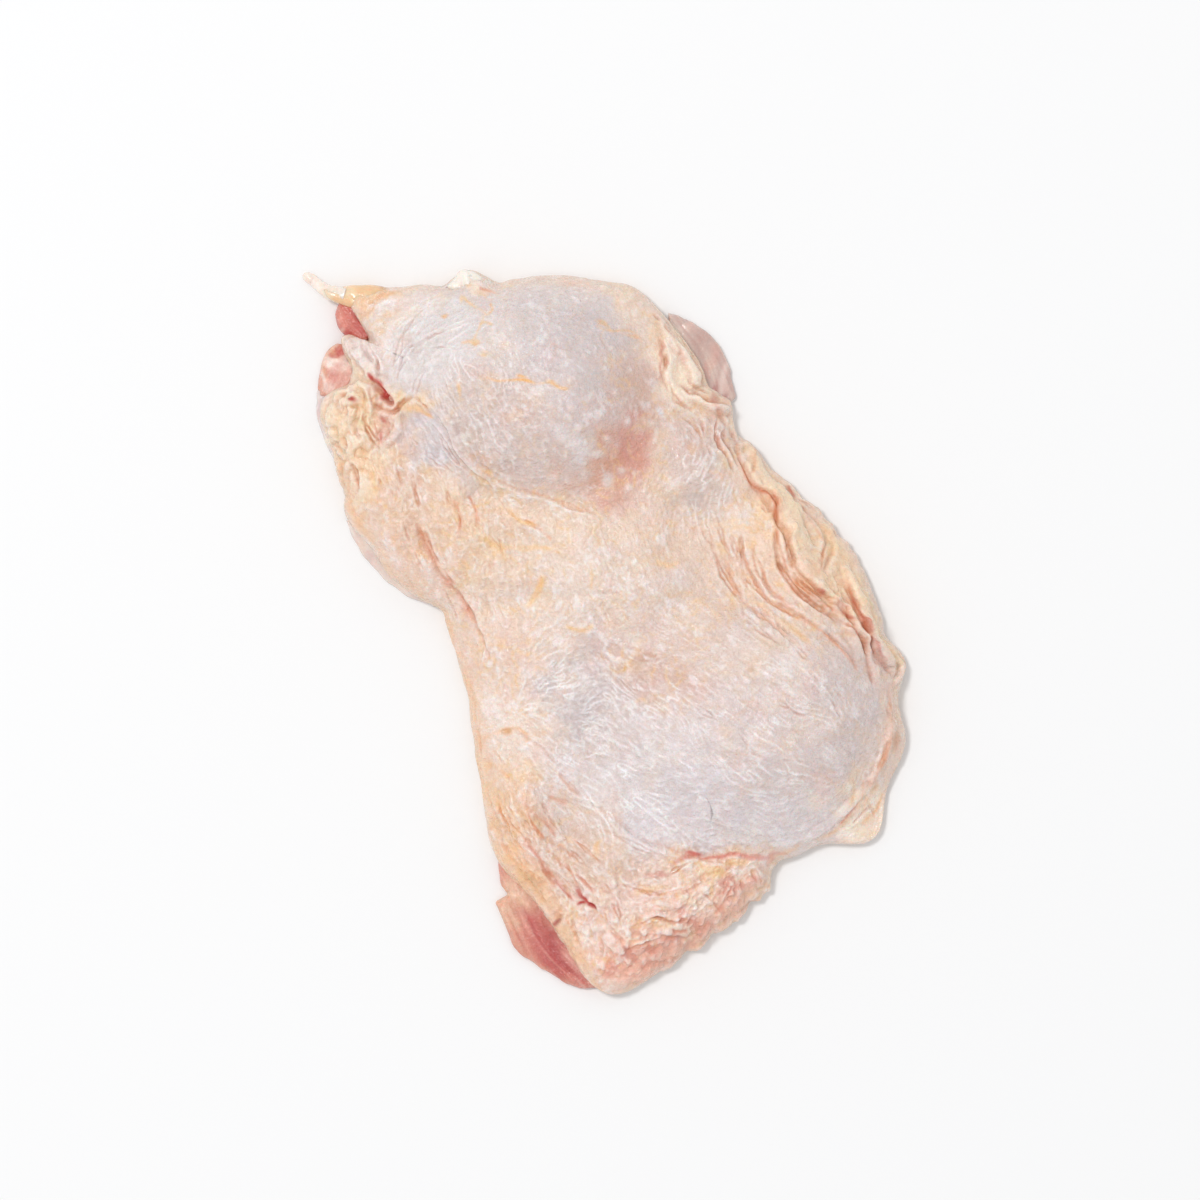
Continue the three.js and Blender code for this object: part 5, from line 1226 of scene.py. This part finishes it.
# ---------------------------------------------------------------------------
# Meat, membranes and the fat pad, which show past the skin's edge
# ---------------------------------------------------------------------------
MEAT_STROKES = [
    [(500, 870), (512, 895), (530, 925), (556, 955), (590, 985)], [(510, 910), (522, 938), (548, 962), (575, 984)],
    [(530, 890), (548, 920), (572, 955), (600, 985)], [(340, 300), (352, 318), (368, 332)], [(320, 392), (326, 362), (342, 348), (356, 350)],
    [(328, 392), (336, 370), (352, 360)], [(680, 320), (705, 345), (722, 375), (732, 398)], [(355, 530), (375, 562), (410, 598)],
    [(430, 330), (440, 420), (470, 520), (520, 640)], [(540, 310), (570, 400), (590, 500), (610, 600)], [(640, 320), (680, 420), (720, 520)],
    [(480, 640), (500, 760), (540, 900)], [(580, 640), (620, 760), (650, 900)], [(700, 560), (780, 660), (830, 760)], [(660, 600), (720, 720), (760, 840)],
]
mc, ms, mw = (np.zeros(GX[::10, ::10].shape) for _ in range(3))
for stroke in MEAT_STROKES:
    c = catmull(at(stroke), 4)
    for p, q in zip(c[:-1], c[1:]):
        d, m = q - p, (p + q) / 2
        ang = 2 * math.atan2(d[1], d[0])
        w = (np.exp(-((GX[::10, ::10] - m[0]) ** 2 + (GY[::10, ::10] - m[1]) ** 2) / (2 * 7.0 ** 2)) + 1e-7) * np.hypot(*d)
        mc += w * math.cos(ang); ms += w * math.sin(ang); mw += w
grain = 0.5 * np.arctan2(enlarge(ms / mw), enlarge(mc / mw)) + 0.10 * noise(201, 4.0)
grain_field = (np.cos(grain).astype(np.float32), np.sin(grain).astype(np.float32))
fibre = streak(202, 0.26, 7.0, field=grain_field)
strand_like = streak(203, 0.62, 10.0, field=grain_field)
pebble = noise(204, 0.55)
meat_relief = 0.11 * puffy(fibre) + 0.20 * puffy(strand_like) + 0.04 * pebble


def paint(x, y, base, tints, jitter=0.35):
    """Colour at points: a base with soft blobs of other colours over it."""
    jx, jy = jitter * sample(wx, x, y), jitter * sample(wy, x, y)
    c = np.empty(x.shape + (3,)); c[:] = linear(base)
    for u, v, a, b, turn, soft, strength, rgb in tints:
        c += (linear(rgb) - c) * (strength * blob(u, v, a, b, turn, soft, x + jx, y + jy))[..., None]
    return c


def even(points, count, closed=False):
    c = catmull(points, 14, closed)
    if closed:
        c = np.concatenate([c, c[:1]])
    run = np.concatenate([[0], np.cumsum(np.hypot(*np.diff(c, axis=0).T))])
    want = np.linspace(0, run[-1], count, endpoint=not closed)
    return np.stack([np.interp(want, run, c[:, k]) for k in (0, 1)], 1)


def slab(name, near_side, far_side, spine, low, high, lip, base, tints, rough=1.0, fibres=(0.25, (214, 130, 116)), frill=0.0, pitch=0.28):
    """A soft flat piece. Its outline is two open runs (u, v) between the ends of its spine; high and low are heights in
    mm at the first and second side; lip is how far in the rounding reaches."""
    a, b = at(near_side), at(far_side)
    size = np.hypot(*np.diff(catmull(a, 8), axis=0).T).sum()
    n = int((size / pitch) * (1))
    A, B = even(a, n + 1), even(b, n + 1)
    edge = np.concatenate([A[:-1], B[::-1][:-1]])             # 0 … n along one side, n … 2n back
    S = even(at(spine), n + 1)
    aim = np.concatenate([S[:-1], S[::-1][:-1]])
    side = np.concatenate([np.zeros(n), np.ones(n)])
    side = smooth_ring(side, max(2.0, n / 14))
    count = len(edge)
    if frill:
        f = smooth_ring(np.random.default_rng(len(name) * 7).standard_normal(count), 1.1 / pitch); f /= f.std()
        out = edge - aim
        edge = edge + out / np.maximum(np.hypot(*out.T), 1e-6)[:, None] * (frill * f)[:, None]
    reach = np.hypot(*(aim - edge).T)
    zh = high[0] + (high[1] - high[0]) * side
    zl = low[0] + (low[1] - low[0]) * side
    zm = 0.42 * zh + 0.58 * zl
    across = max(8, int(reach.max() / pitch * (1)))
    rows, flags = [], []
    steps = np.linspace(0.965, 0.0, 9)
    for t in steps:                                            # underneath, from the spine out
        d = reach * t
        p = edge + (aim - edge) * t
        k = np.sqrt(np.clip(1 - (1 - np.minimum(d / lip, 1)) ** 2, 0, 1))
        zlow = zl + (zl.mean() - zl) * t
        rows.append(np.stack([p[:, 0], p[:, 1], zm - (zm - zlow) * k], 1)); flags.append(0.0)
    for t in 0.965 * np.linspace(0, 1, across + 1)[1:] ** 1.3:  # over the top, from the edge in
        d = reach * t
        p = edge + (aim - edge) * t
        k = np.sqrt(np.clip(1 - (1 - np.minimum(d / lip, 1)) ** 2, 0, 1))
        ztop = zh + (0.5 * (zh + np.roll(zh[::-1], 1)) - zh) * t
        rows.append(np.stack([p[:, 0], p[:, 1], zm + (ztop - zm) * k], 1)); flags.append(1.0)
    Pm = np.array(rows); Fm = np.array(flags)[:, None]
    Nm = ring_normals(Pm)
    lift = sample(meat_relief, Pm[..., 0], Pm[..., 1]) * rough
    Pm = Pm + Nm * (lift * (0.35 + 0.65 * Fm))[..., None]
    Pm[..., 2] = np.maximum(Pm[..., 2], 0.05)
    x, y = Pm[..., 0], Pm[..., 1]
    c = paint(x, y, base, tints)
    f1, f2 = sample(fibre, x, y)[..., None], sample(strand_like, x, y)[..., None]
    c += (linear(fibres[1]) - c) * (fibres[0] * np.clip(0.6 * f1 + 0.5 * f2, 0, 1.6))
    c *= 1 + 0.10 * fibres[0] * 4 * np.clip(0.6 * f1 + 0.4 * f2, -1.5, 1.5) * np.array([0.35, 1.0, 1.0])
    shine = np.clip(0.62 + 0.2 * sample(pebble, x, y), 0, 1)
    i = np.arange(n)
    last = (len(Pm) - 1) * count
    close = []
    for start, flip in ((last, False), (0, True)):
        q = np.stack([start + i, start + (i + 1) % count, start + (count - i - 1) % count, start + (count - i) % count], 1)
        close.append(q[1:-1, ::-1] if flip else q[1:-1])
        ends = [(start + 0, start + 1, start + count - 1), (start + n - 1, start + n, start + n + 1)]
        tri_list.extend([t[::-1] if flip else t for t in ends])
    quads = np.concatenate([ring_quads(len(Pm), count)] + close)
    tris = list(tri_list); tri_list.clear()
    obj = make_mesh(name, metres(Pm.reshape(-1, 3)), quads, tris, {"tint": np.clip(c, 0.01, 0.98).reshape(-1, 3), "wet": shine.ravel()})
    return obj


tri_list = []
meat_material = raw_material("meat_raw", rough=(0.16, 0.42), bump=((0.7, 0.00015), (0.35, 0.00010)), scatter=0.0020, weight=0.32,
                             radius=(1.0, 0.30, 0.20), mottle=0.07)
film_material = raw_material("film_raw", rough=(0.14, 0.36), bump=((0.6, 0.00010),), scatter=0.0022, weight=0.45,
                             radius=(1.0, 0.55, 0.45), mottle=0.03)


def finish_piece(obj, material, node):
    obj.data.materials.append(material)
    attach(obj, "root")
    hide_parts(node)
    return obj


PALE = (0.20, (240, 216, 200))
flap = slab("meat_flap",
            [(499, 857), (499, 868), (501, 881), (505, 890), (507, 894.5), (501, 898), (496, 902.5), (498.5, 908), (503, 919), (508, 934), (514, 946),
             (525, 957), (540, 967), (555, 976), (570, 984), (582, 988.5), (596, 988)],
            [(499, 857), (511, 863), (523, 873), (535, 883), (547, 893), (558, 905), (566, 920), (574, 936), (584, 952), (595, 967), (605, 980), (596, 988)],
            [(503, 865), (508, 880), (513, 893), (522, 908), (532, 926), (546, 944), (562, 961), (578, 975), (590, 984)],
            (0.1, 0.1), (2.4, 4.5), 1.9, (214, 140, 122),
            [(512, 880, 5, 9, -25, .6, .85, (226, 170, 146)), (503, 878, 1.6, 6, -15, .8, .6, (222, 150, 132)), (511, 889, 1.6, .5, 15, .9, .5, (188, 90, 80)),
             (512, 908, 5.5, 6.5, -30, .6, .9, (236, 200, 168)), (520, 916, 3, 3, -30, .8, .7, (232, 190, 158)), (499, 902, 1.5, 1.2, 0, .7, .8, (228, 172, 140)),
             (545, 940, 2.4, 12, 42, .6, .85, (194, 88, 84)), (562, 948, 1.6, 10, 34, .7, .8, (184, 76, 74)), (528, 935, 1.4, 8, 40, .8, .5, (206, 112, 102)),
             (512, 938, 1.2, 7, 25, .8, .6, (228, 176, 150)), (545, 968, 1.1, 9, 58, .8, .6, (230, 180, 156)), (578, 985, 4, 1.4, 20, .8, .5, (226, 164, 144)),
             (536, 915, 1.5, 6, 30, .8, .4, (216, 140, 122)), (583, 976, 3, 2, 30, .8, .4, (206, 116, 106))],
            rough=1.25, fibres=(0.34, (232, 172, 156)), frill=0.10)
lean_a = slab("meat_end_upper",
              [(341, 301), (337, 308), (335.5, 317), (338, 327), (344, 335), (352, 342), (362, 346)],
              [(341, 301), (354, 300), (368, 303), (378, 311), (380, 324), (375, 338), (362, 346)],
              [(347, 308), (353, 320), (361, 335)],
              (0.1, 0.6), (4.5, 5.1), 2.2, (208, 110, 100),
              [(340, 312, 1.0, 2.6, 0, .8, .6, (228, 160, 140)), (348, 308, 2.2, 1.2, 20, .7, .55, (216, 124, 110)), (346, 320, 1.4, 2.2, 0, .7, .6, (222, 140, 122)),
               (354, 324, 1.2, 1.6, 0, .7, .5, (220, 136, 118)), (359, 314, 1.1, 2.6, 20, .8, .7, (182, 70, 66)), (350, 331, 1.4, 1.0, 0, .8, .6, (188, 78, 72)),
               (342, 330, 1.6, .8, 40, .7, .6, (236, 200, 182)), (355, 306, 1.0, 2.0, 40, .8, .4, (178, 66, 62))],
              rough=1.2, fibres=(0.40, (228, 152, 134)))
lean_b = slab("meat_end_lower",
              [(346, 344), (336, 345), (328, 350), (323, 360), (319.5, 374), (318, 388), (321, 396)],
              [(346, 344), (354, 350), (359, 362), (360, 376), (354, 388), (342, 396), (330, 399), (321, 396)],
              [(343, 352), (337, 364), (333, 378), (328, 390)],
              (0.1, 0.4), (3.0, 4.7), 2.4, (226, 168, 148),
              [(338, 358, 2.6, 1.7, 25, .55, .95, (196, 82, 74)), (345, 354, 1.8, 1.6, 30, .7, .7, (206, 104, 90)), (330, 352, 1.2, 2.6, 35, .8, .7, (226, 170, 132)),
               (324, 366, .9, 3.4, 15, .8, .7, (230, 176, 140)), (334, 368, 3.6, .8, -26, .7, .9, (248, 232, 222)), (322, 380, .9, 3.4, 8, .8, .7, (244, 226, 216)),
               (336, 378, 2.2, 1.8, 0, .7, .75, (214, 136, 124)), (342, 386, 2.4, 1.6, 0, .7, .6, (218, 150, 138)), (330, 390, 2.0, 1.4, 0, .8, .6, (226, 196, 188)),
               (349, 371, 1.6, 2.2, 0, .8, .6, (236, 208, 196))],
              rough=1.1, fibres=(0.22, (236, 196, 180)))
film_right = slab("membrane_right",
                  [(668, 313), (682, 318), (698, 326), (711, 336), (721, 349), (728, 363), (732, 379), (735, 396), (731, 402)],
                  [(668, 313), (670, 332), (679, 347), (688, 362), (695, 376), (701, 389), (709, 399), (719, 405), (731, 402)],
                  [(671, 321), (684, 334), (697, 350), (707, 366), (715, 383), (724, 398)],
                  (0.1, 0.1), (2.2, 3.7), 1.5, (208, 182, 172),
                  [(700, 345, 2.0, 9, -38, .7, .8, (200, 168, 158)), (722, 395, 2.4, 1.2, 35, .6, .98, (158, 54, 52)), (716, 388, 1.2, 2.4, -30, .7, .8, (172, 80, 74)), (724, 384, 2.2, 3.4, -20, .7, .5, (196, 152, 144)),
                   (728, 374, 1.0, 6, -14, .8, .6, (238, 218, 208)), (710, 362, 1.6, 6, -30, .7, .6, (220, 176, 162)), (690, 326, 3.2, 1.2, 25, .8, .5, (236, 212, 200))],
                  rough=0.7, fibres=PALE, frill=0.12)
sheet_left = slab("membrane_left",
                  [(346, 520), (352, 534), (360, 548), (368, 561), (379, 574), (393, 586), (412, 598), (434, 606)],
                  [(346, 520), (361, 524), (374, 535), (384, 546), (392, 557), (402, 568), (416, 582), (434, 606)],
                  [(352, 526), (364, 539), (376, 553), (387, 566), (404, 582), (426, 601)],
                  (0.1, 0.1), (1.9, 3.1), 1.3, (232, 212, 202),
                  [(372, 556, 1.5, 8, -40, .8, .6, (218, 192, 184)), (398, 586, 1.4, 6, -48, .8, .5, (236, 214, 198)), (362, 545, 1.2, 4, -30, .8, .4, (240, 214, 190))],
                  rough=0.5, fibres=PALE, frill=0.15)
film_left = slab("membrane_corner",
                 [(322, 384), (317, 394), (316, 407), (318, 420), (322, 434), (327, 447), (334, 458)],
                 [(322, 384), (329, 396), (329, 410), (331, 424), (335, 437), (339, 449), (334, 458)],
                 [(323, 392), (323, 406), (325, 420), (329, 436), (333, 450)],
                 (0.1, 0.1), (2.0, 3.1), 1.3, (230, 214, 208),
                 [(321, 405, 1.0, 5, 0, .8, .6, (222, 206, 206)), (326, 438, 1.0, 4, -20, .8, .5, (238, 214, 192))],
                 rough=0.5, fibres=PALE, frill=0.12)
pad = slab("fat_pad",
           [(324, 290), (332, 288.5), (344, 287.5), (356, 286.5), (368, 286), (380, 286.5), (390, 288.5), (399, 292)],
           [(324, 290), (327, 297), (334, 302), (344, 306.5), (354, 309), (363, 309), (372, 305), (381, 301), (390, 297), (399, 292)],
           [(329, 293), (338, 295), (350, 297.5), (362, 297.5), (376, 295), (391, 292)],
           (2.0, 3.0), (5.9, 7.2), 2.3, (240, 199, 156),
           [(350, 296, 5, 1.8, 0, .7, .5, (248, 226, 196)), (372, 296, 4, 1.6, -12, .7, .7, (238, 192, 142)), (360, 305, 3, 1.0, -8, .8, .7, (240, 198, 150)),
            (333, 295, 2.0, 1.6, 0, .8, .5, (246, 226, 208)), (381, 288, 1.1, .8, 0, .6, .8, (204, 150, 112)), (392, 292, 2.5, 1.2, -10, .8, .5, (232, 176, 138))],
           rough=0.45, fibres=(0.12, (250, 232, 208)), frill=0.10)
bead = slab("fat_bead",
            [(446, 288), (453, 281), (458, 274.5), (464, 271.5), (471, 272), (479, 275), (488, 279), (497, 284), (504, 290)],
            [(446, 288), (456, 292), (467, 294), (478, 294), (490, 294), (504, 290)],
            [(452, 286), (462, 282), (474, 283), (486, 286), (498, 289)],
            (2.6, 4.4), (7.6, 9.6), 2.0, (248, 234, 222),
            [(463, 276, 2.0, 1.6, 0, .7, .6, (250, 240, 230)), (474, 287, 3.0, .5, 8, .9, .7, (226, 158, 112)), (473, 285, .7, .5, 0, .8, .8, (196, 116, 80)),
             (493, 288, 2.2, .6, 18, .9, .6, (222, 140, 104)), (484, 280, 2.5, 1.2, 15, .8, .4, (244, 216, 182))],
            rough=0.8, fibres=(0.10, (250, 238, 224)), frill=0.16, pitch=0.22)
for piece, material, node in ((flap, meat_material, "meat"), (lean_a, meat_material, "meat"), (lean_b, meat_material, "meat"),
                              (film_right, film_material, "meat"), (sheet_left, film_material, "meat"), (film_left, film_material, "skin"),
                              (pad, film_material, "skin"), (bead, film_material, "skin")):
    finish_piece(piece, material, node)

# --- the white strand at the corner -------------------------------------------
way = even(at([(303, 275.5), (308, 277), (314, 280.5), (320, 286), (327, 291.5), (336, 295), (346, 297)]), 140)
run = np.linspace(0, 1, len(way))
high_z = np.interp(run, [0, 0.25, 0.5, 0.75, 1], [1.25, 1.7, 3.2, 4.6, 5.2])
thick = np.interp(run, [0, 0.03, 0.08, 0.3, 0.6, 1], [0.25, 0.85, 1.15, 1.35, 1.65, 2.1])
centre_line = np.stack([way[:, 0], way[:, 1], high_z], 1)
ahead = np.gradient(centre_line, axis=0); ahead /= np.linalg.norm(ahead, axis=1, keepdims=True)
sideways = np.cross(ahead, [0, 0, 1.0]); sideways /= np.linalg.norm(sideways, axis=1, keepdims=True)
upward = np.cross(sideways, ahead)
turns = 48
angle = np.arange(turns) / turns * 2 * math.pi
lump = np.random.default_rng(301).standard_normal((len(way), turns))
lump = np.real(np.fft.ifft2(np.fft.fft2(lump) * np.exp(-2 * math.pi ** 2 * ((5.0 * np.fft.fftfreq(len(way)))[:, None] ** 2 + (3.0 * np.fft.fftfreq(turns))[None, :] ** 2))))
lump /= lump.std()
ring = thick[:, None] * (1 + 0.07 * lump)
T = centre_line[:, None] + sideways[:, None] * (ring * np.cos(angle))[..., None] * 1.1 + upward[:, None] * (ring * np.sin(angle))[..., None] * 0.9
T[..., 2] = np.maximum(T[..., 2], 0.06)
k = np.arange(turns)
quads = np.concatenate([np.stack([i * turns + k, i * turns + (k + 1) % turns, (i + 1) * turns + (k + 1) % turns, (i + 1) * turns + k], 1) for i in range(len(way) - 1)])
verts = np.concatenate([T.reshape(-1, 3), centre_line[:1] - ahead[:1] * 0.12, centre_line[-1:]])
m0, m1 = len(verts) - 2, len(verts) - 1
end = (len(way) - 1) * turns
tris = [(m0, (j + 1) % turns, j) for j in range(turns)] + [(m1, end + j, end + (j + 1) % turns) for j in range(turns)]
white = paint(verts[:, 0], verts[:, 1], (246, 228, 216), [(305, 277, 1.6, 1.2, 0, .8, .5, (236, 206, 192)), (318, 285, 3, .6, -40, .9, .5, (250, 242, 236)),
                                                        (330, 294, 3, 1.6, 0, .8, .5, (245, 222, 192))])
strand = make_mesh("tendon_strand", metres(verts), quads, tris, {"tint": white, "wet": np.full(len(verts), 0.8)})
finish_piece(strand, film_material, "skin")

# ---------------------------------------------------------------------------
# The meat inside, whose underside shows from below: bundles with fat and
# silverskin between, and the bed where the bone was
# ---------------------------------------------------------------------------
BUNDLES = [      # x, y to x, y, half width, how far it hangs down, 0 to 1
    (-20, 84, -31, 26, 15, 1.0), (8, 90, 20, 52, 16, 1.0), (27, 58, 34, 8, 16, 0.95), (-2, 62, 1, 6, 9, 0.55),
    (-27, 18, -32, -46, 14, 1.0), (-12, -12, -20, -72, 13, 0.95), (20, 6, 34, -48, 20, 1.0), (4, -22, 10, -66, 11, 0.9), (46, 10, 52, -24, 10, 0.9),
]
belly = np.zeros(GX.shape, np.float32)
second = np.zeros(GX.shape, np.float32)
swayx, swayy = GX + 2.2 * noise(211, 6.0) + 0.8 * noise(212, 2.2), GY + 2.0 * noise(213, 6.0)
for x1, y1, x2, y2, w, hang in BUNDLES:
    dx, dy = x2 - x1, y2 - y1
    t = np.clip(((swayx - x1) * dx + (swayy - y1) * dy) / (dx * dx + dy * dy), 0, 1)
    d = np.hypot(swayx - x1 - t * dx, swayy - y1 - t * dy) / w
    v = (hang * np.clip(1 - d ** 2.4, 0, 1) ** 0.55).astype(np.float32)
    second = np.maximum(second, np.minimum(belly, v)); belly = np.maximum(belly, v)
seam = smoothstep(0.45, 0.05, belly - second) * smoothstep(0.05, 0.3, belly) + smoothstep(0.25, 0.0, belly)
seam = np.clip(seam, 0, 1)
under_z = 0.12 + 3.3 * (1 - belly) + 0.25 * (0.6 + 0.4 * noise(214, 1.2)) * (1 - seam) - 0.5 * seam
under_z = blur(under_z, 0.5)
fibre_low = meat_relief * (1.15 - 0.9 * seam) + seam * 0.30 * puffy(noise(215, 1.1))
low_colour = np.empty(GX.shape + (3,), np.float32)
low_colour[:] = linear((216, 140, 126))
tone = np.clip(0.5 + 0.5 * noise(216, 7.0), 0, 1.4)[..., None]
low_colour += (linear((198, 104, 96)).astype(np.float32) - low_colour) * (0.55 * tone)
low_colour += (linear((232, 176, 160)).astype(np.float32) - low_colour) * (0.50 * np.clip(0.6 * fibre + 0.5 * strand_like, 0, 1.4)[..., None])
silver = np.clip(noise(217, 6.5) - 0.35, 0, 1) * smoothstep(0.25, 0.8, belly)
low_colour += (linear((236, 218, 216)).astype(np.float32) - low_colour) * (0.75 * np.clip(silver * (1 + 0.35 * strand_like), 0, 1)[..., None])
fat_low = np.clip(seam * (0.85 + 0.35 * noise(218, 1.6)) + 0.9 * smoothstep(1.5, 2.1, noise(219, 2.0)), 0, 1)
low_colour += (linear((246, 216, 168)).astype(np.float32) - low_colour) * (0.85 * fat_low[..., None])
blood = np.clip(noise(220, 1.8) - 1.5, 0, 1) * (1 - seam)
low_colour += (linear((164, 60, 58)).astype(np.float32) - low_colour) * (0.6 * blood[..., None])
bed = np.exp(-0.5 * ((GX - np.interp(GY, [-70, -20, 30, 80], [-2, 3, 0, -6])) / 5.0) ** 2) * smoothstep(-66, -50, GY) * smoothstep(78, 60, GY)
low_colour += (linear((206, 112, 102)).astype(np.float32) - low_colour) * (0.5 * bed * (1 - seam))[..., None]

around_c = AROUND
rim_c = np.maximum(RIM + 2.9, 0.65 * hem + 1.0)
core_rows, core_in = [], []


def core_row(s, z):
    core_rows.append(np.stack([sx + ux * s, sy + uy * s, np.broadcast_to(z, (AROUND,))], 1))


for t in np.linspace(1, 0, 100):            # underside, from the spine out to the hem
    s = hem + 1.6 + (length - 0.5 - hem - 1.6) * t
    x, y = sx + ux * s, sy + uy * s
    into = smoothstep(0, 5.0, s - hem - 1.6)
    z = 1.75 + (sample(under_z, x, y) - 1.75) * into
    core_row(s, z)
low_rows = len(core_rows)
core_row(hem + 0.9, 1.95)
core_row(rim_c, 2.25)
for t in np.linspace(0, 1, 9):                                   # hidden top, under the skin
    s = rim_c + 0.3 + (length - 0.9 - rim_c - 0.3) * t
    x, y = sx + ux * s, sy + uy * s
    core_row(s, np.maximum(2.45, sample(H, x, y) - SKIN_THICKNESS - 0.55))
M = np.array(core_rows)
NM = ring_normals(M)
amount = np.zeros(len(M)); amount[:low_rows] = 1
lift = sample(fibre_low, M[..., 0], M[..., 1]) * amount[:, None] * smoothstep(0, 3.0, np.hypot(M[..., 0] - sx, M[..., 1] - sy) - hem - 1.6)
M = M - np.array([0, 0, 1.0]) * lift[..., None]
M[..., 2] = np.maximum(M[..., 2], 0.02)
MC = sample(low_colour, M[..., 0], M[..., 1])
tris = []
close_spine(M[-1, :, 1], (len(M) - 1) * AROUND, tris, False)
close_spine(M[0, :, 1], 0, tris, True)
core = make_mesh("meat_core", metres(M.reshape(-1, 3)), ring_quads(len(M), AROUND), tris,
                 {"tint": np.clip(MC, 0.01, 0.98).reshape(-1, 3), "wet": np.full(M.shape[0] * M.shape[1], 0.6)})
finish_piece(core, meat_material, "meat")

skin_material = raw_material("skin_raw")
skin.data.materials.append(skin_material)
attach(skin, "root")
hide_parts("skin")

# ---------------------------------------------------------------------------
# Floor, light, camera
# ---------------------------------------------------------------------------
floor_mesh = bpy.data.meshes.new("floor")
floor_mesh.from_pydata([(-3, -3, 0), (3, -3, 0), (3, 3, 0), (-3, 3, 0)], [], [(0, 1, 2, 3)])
floor = bpy.data.objects.new("floor", floor_mesh)
bpy.context.scene.collection.objects.link(floor)
floor_material = bpy.data.materials.new("floor_pale")
floor_material.use_nodes = True
shader = floor_material.node_tree.nodes["Principled BSDF"]
shader.inputs["Base Color"].default_value = (0.91, 0.905, 0.90, 1)
shader.inputs["Roughness"].default_value = 0.6
shader.inputs["Specular IOR Level"].default_value = 0.2
floor.data.materials.append(floor_material)

view_right = np.array([math.cos(TURN), math.sin(TURN), 0.0])
view_up = np.array([-math.sin(TURN), math.cos(TURN), 0.0])
world = bpy.data.worlds.new("world")
world.use_nodes = True
world.node_tree.nodes["Background"].inputs["Color"].default_value = (0.99, 1.0, 1.015, 1)
world.node_tree.nodes["Background"].inputs["Strength"].default_value = 0.72
bpy.context.scene.world = world


def area_light(name, place, size, power, target=(0, 0, 0.01)):
    data = bpy.data.lights.new(name, "AREA")
    data.shape = "DISK"
    data.size = size
    data.energy = power
    light = bpy.data.objects.new(name, data)
    light.location = place
    d = np.array(target) - np.array(place)
    from mathutils import Vector
    light.rotation_euler = Vector(d).to_track_quat("-Z", "Y").to_euler()
    bpy.context.scene.collection.objects.link(light)
    return light


key = -0.95 * view_right + 0.70 * view_up + np.array([0, 0, 2.9])
area_light("key", tuple(key), 0.65, 37.0)

camera_data = bpy.data.cameras.new("camera")
camera = bpy.data.objects.new("camera", camera_data)
bpy.context.scene.collection.objects.link(camera)
(vx, vy), = at([VIEW_CENTRE]) + SHIFT
HIGH = 2.0
camera.location = (vx * 0.001, vy * 0.001, HIGH)
camera.rotation_euler = (0, 0, TURN)
camera_data.sensor_width = 36
camera_data.lens = 36 * HIGH / (VIEW_SIDE * UNIT * 0.001)
camera_data.clip_end = 20
bpy.context.scene.camera = camera
bpy.context.scene.view_settings.view_transform = "Standard"
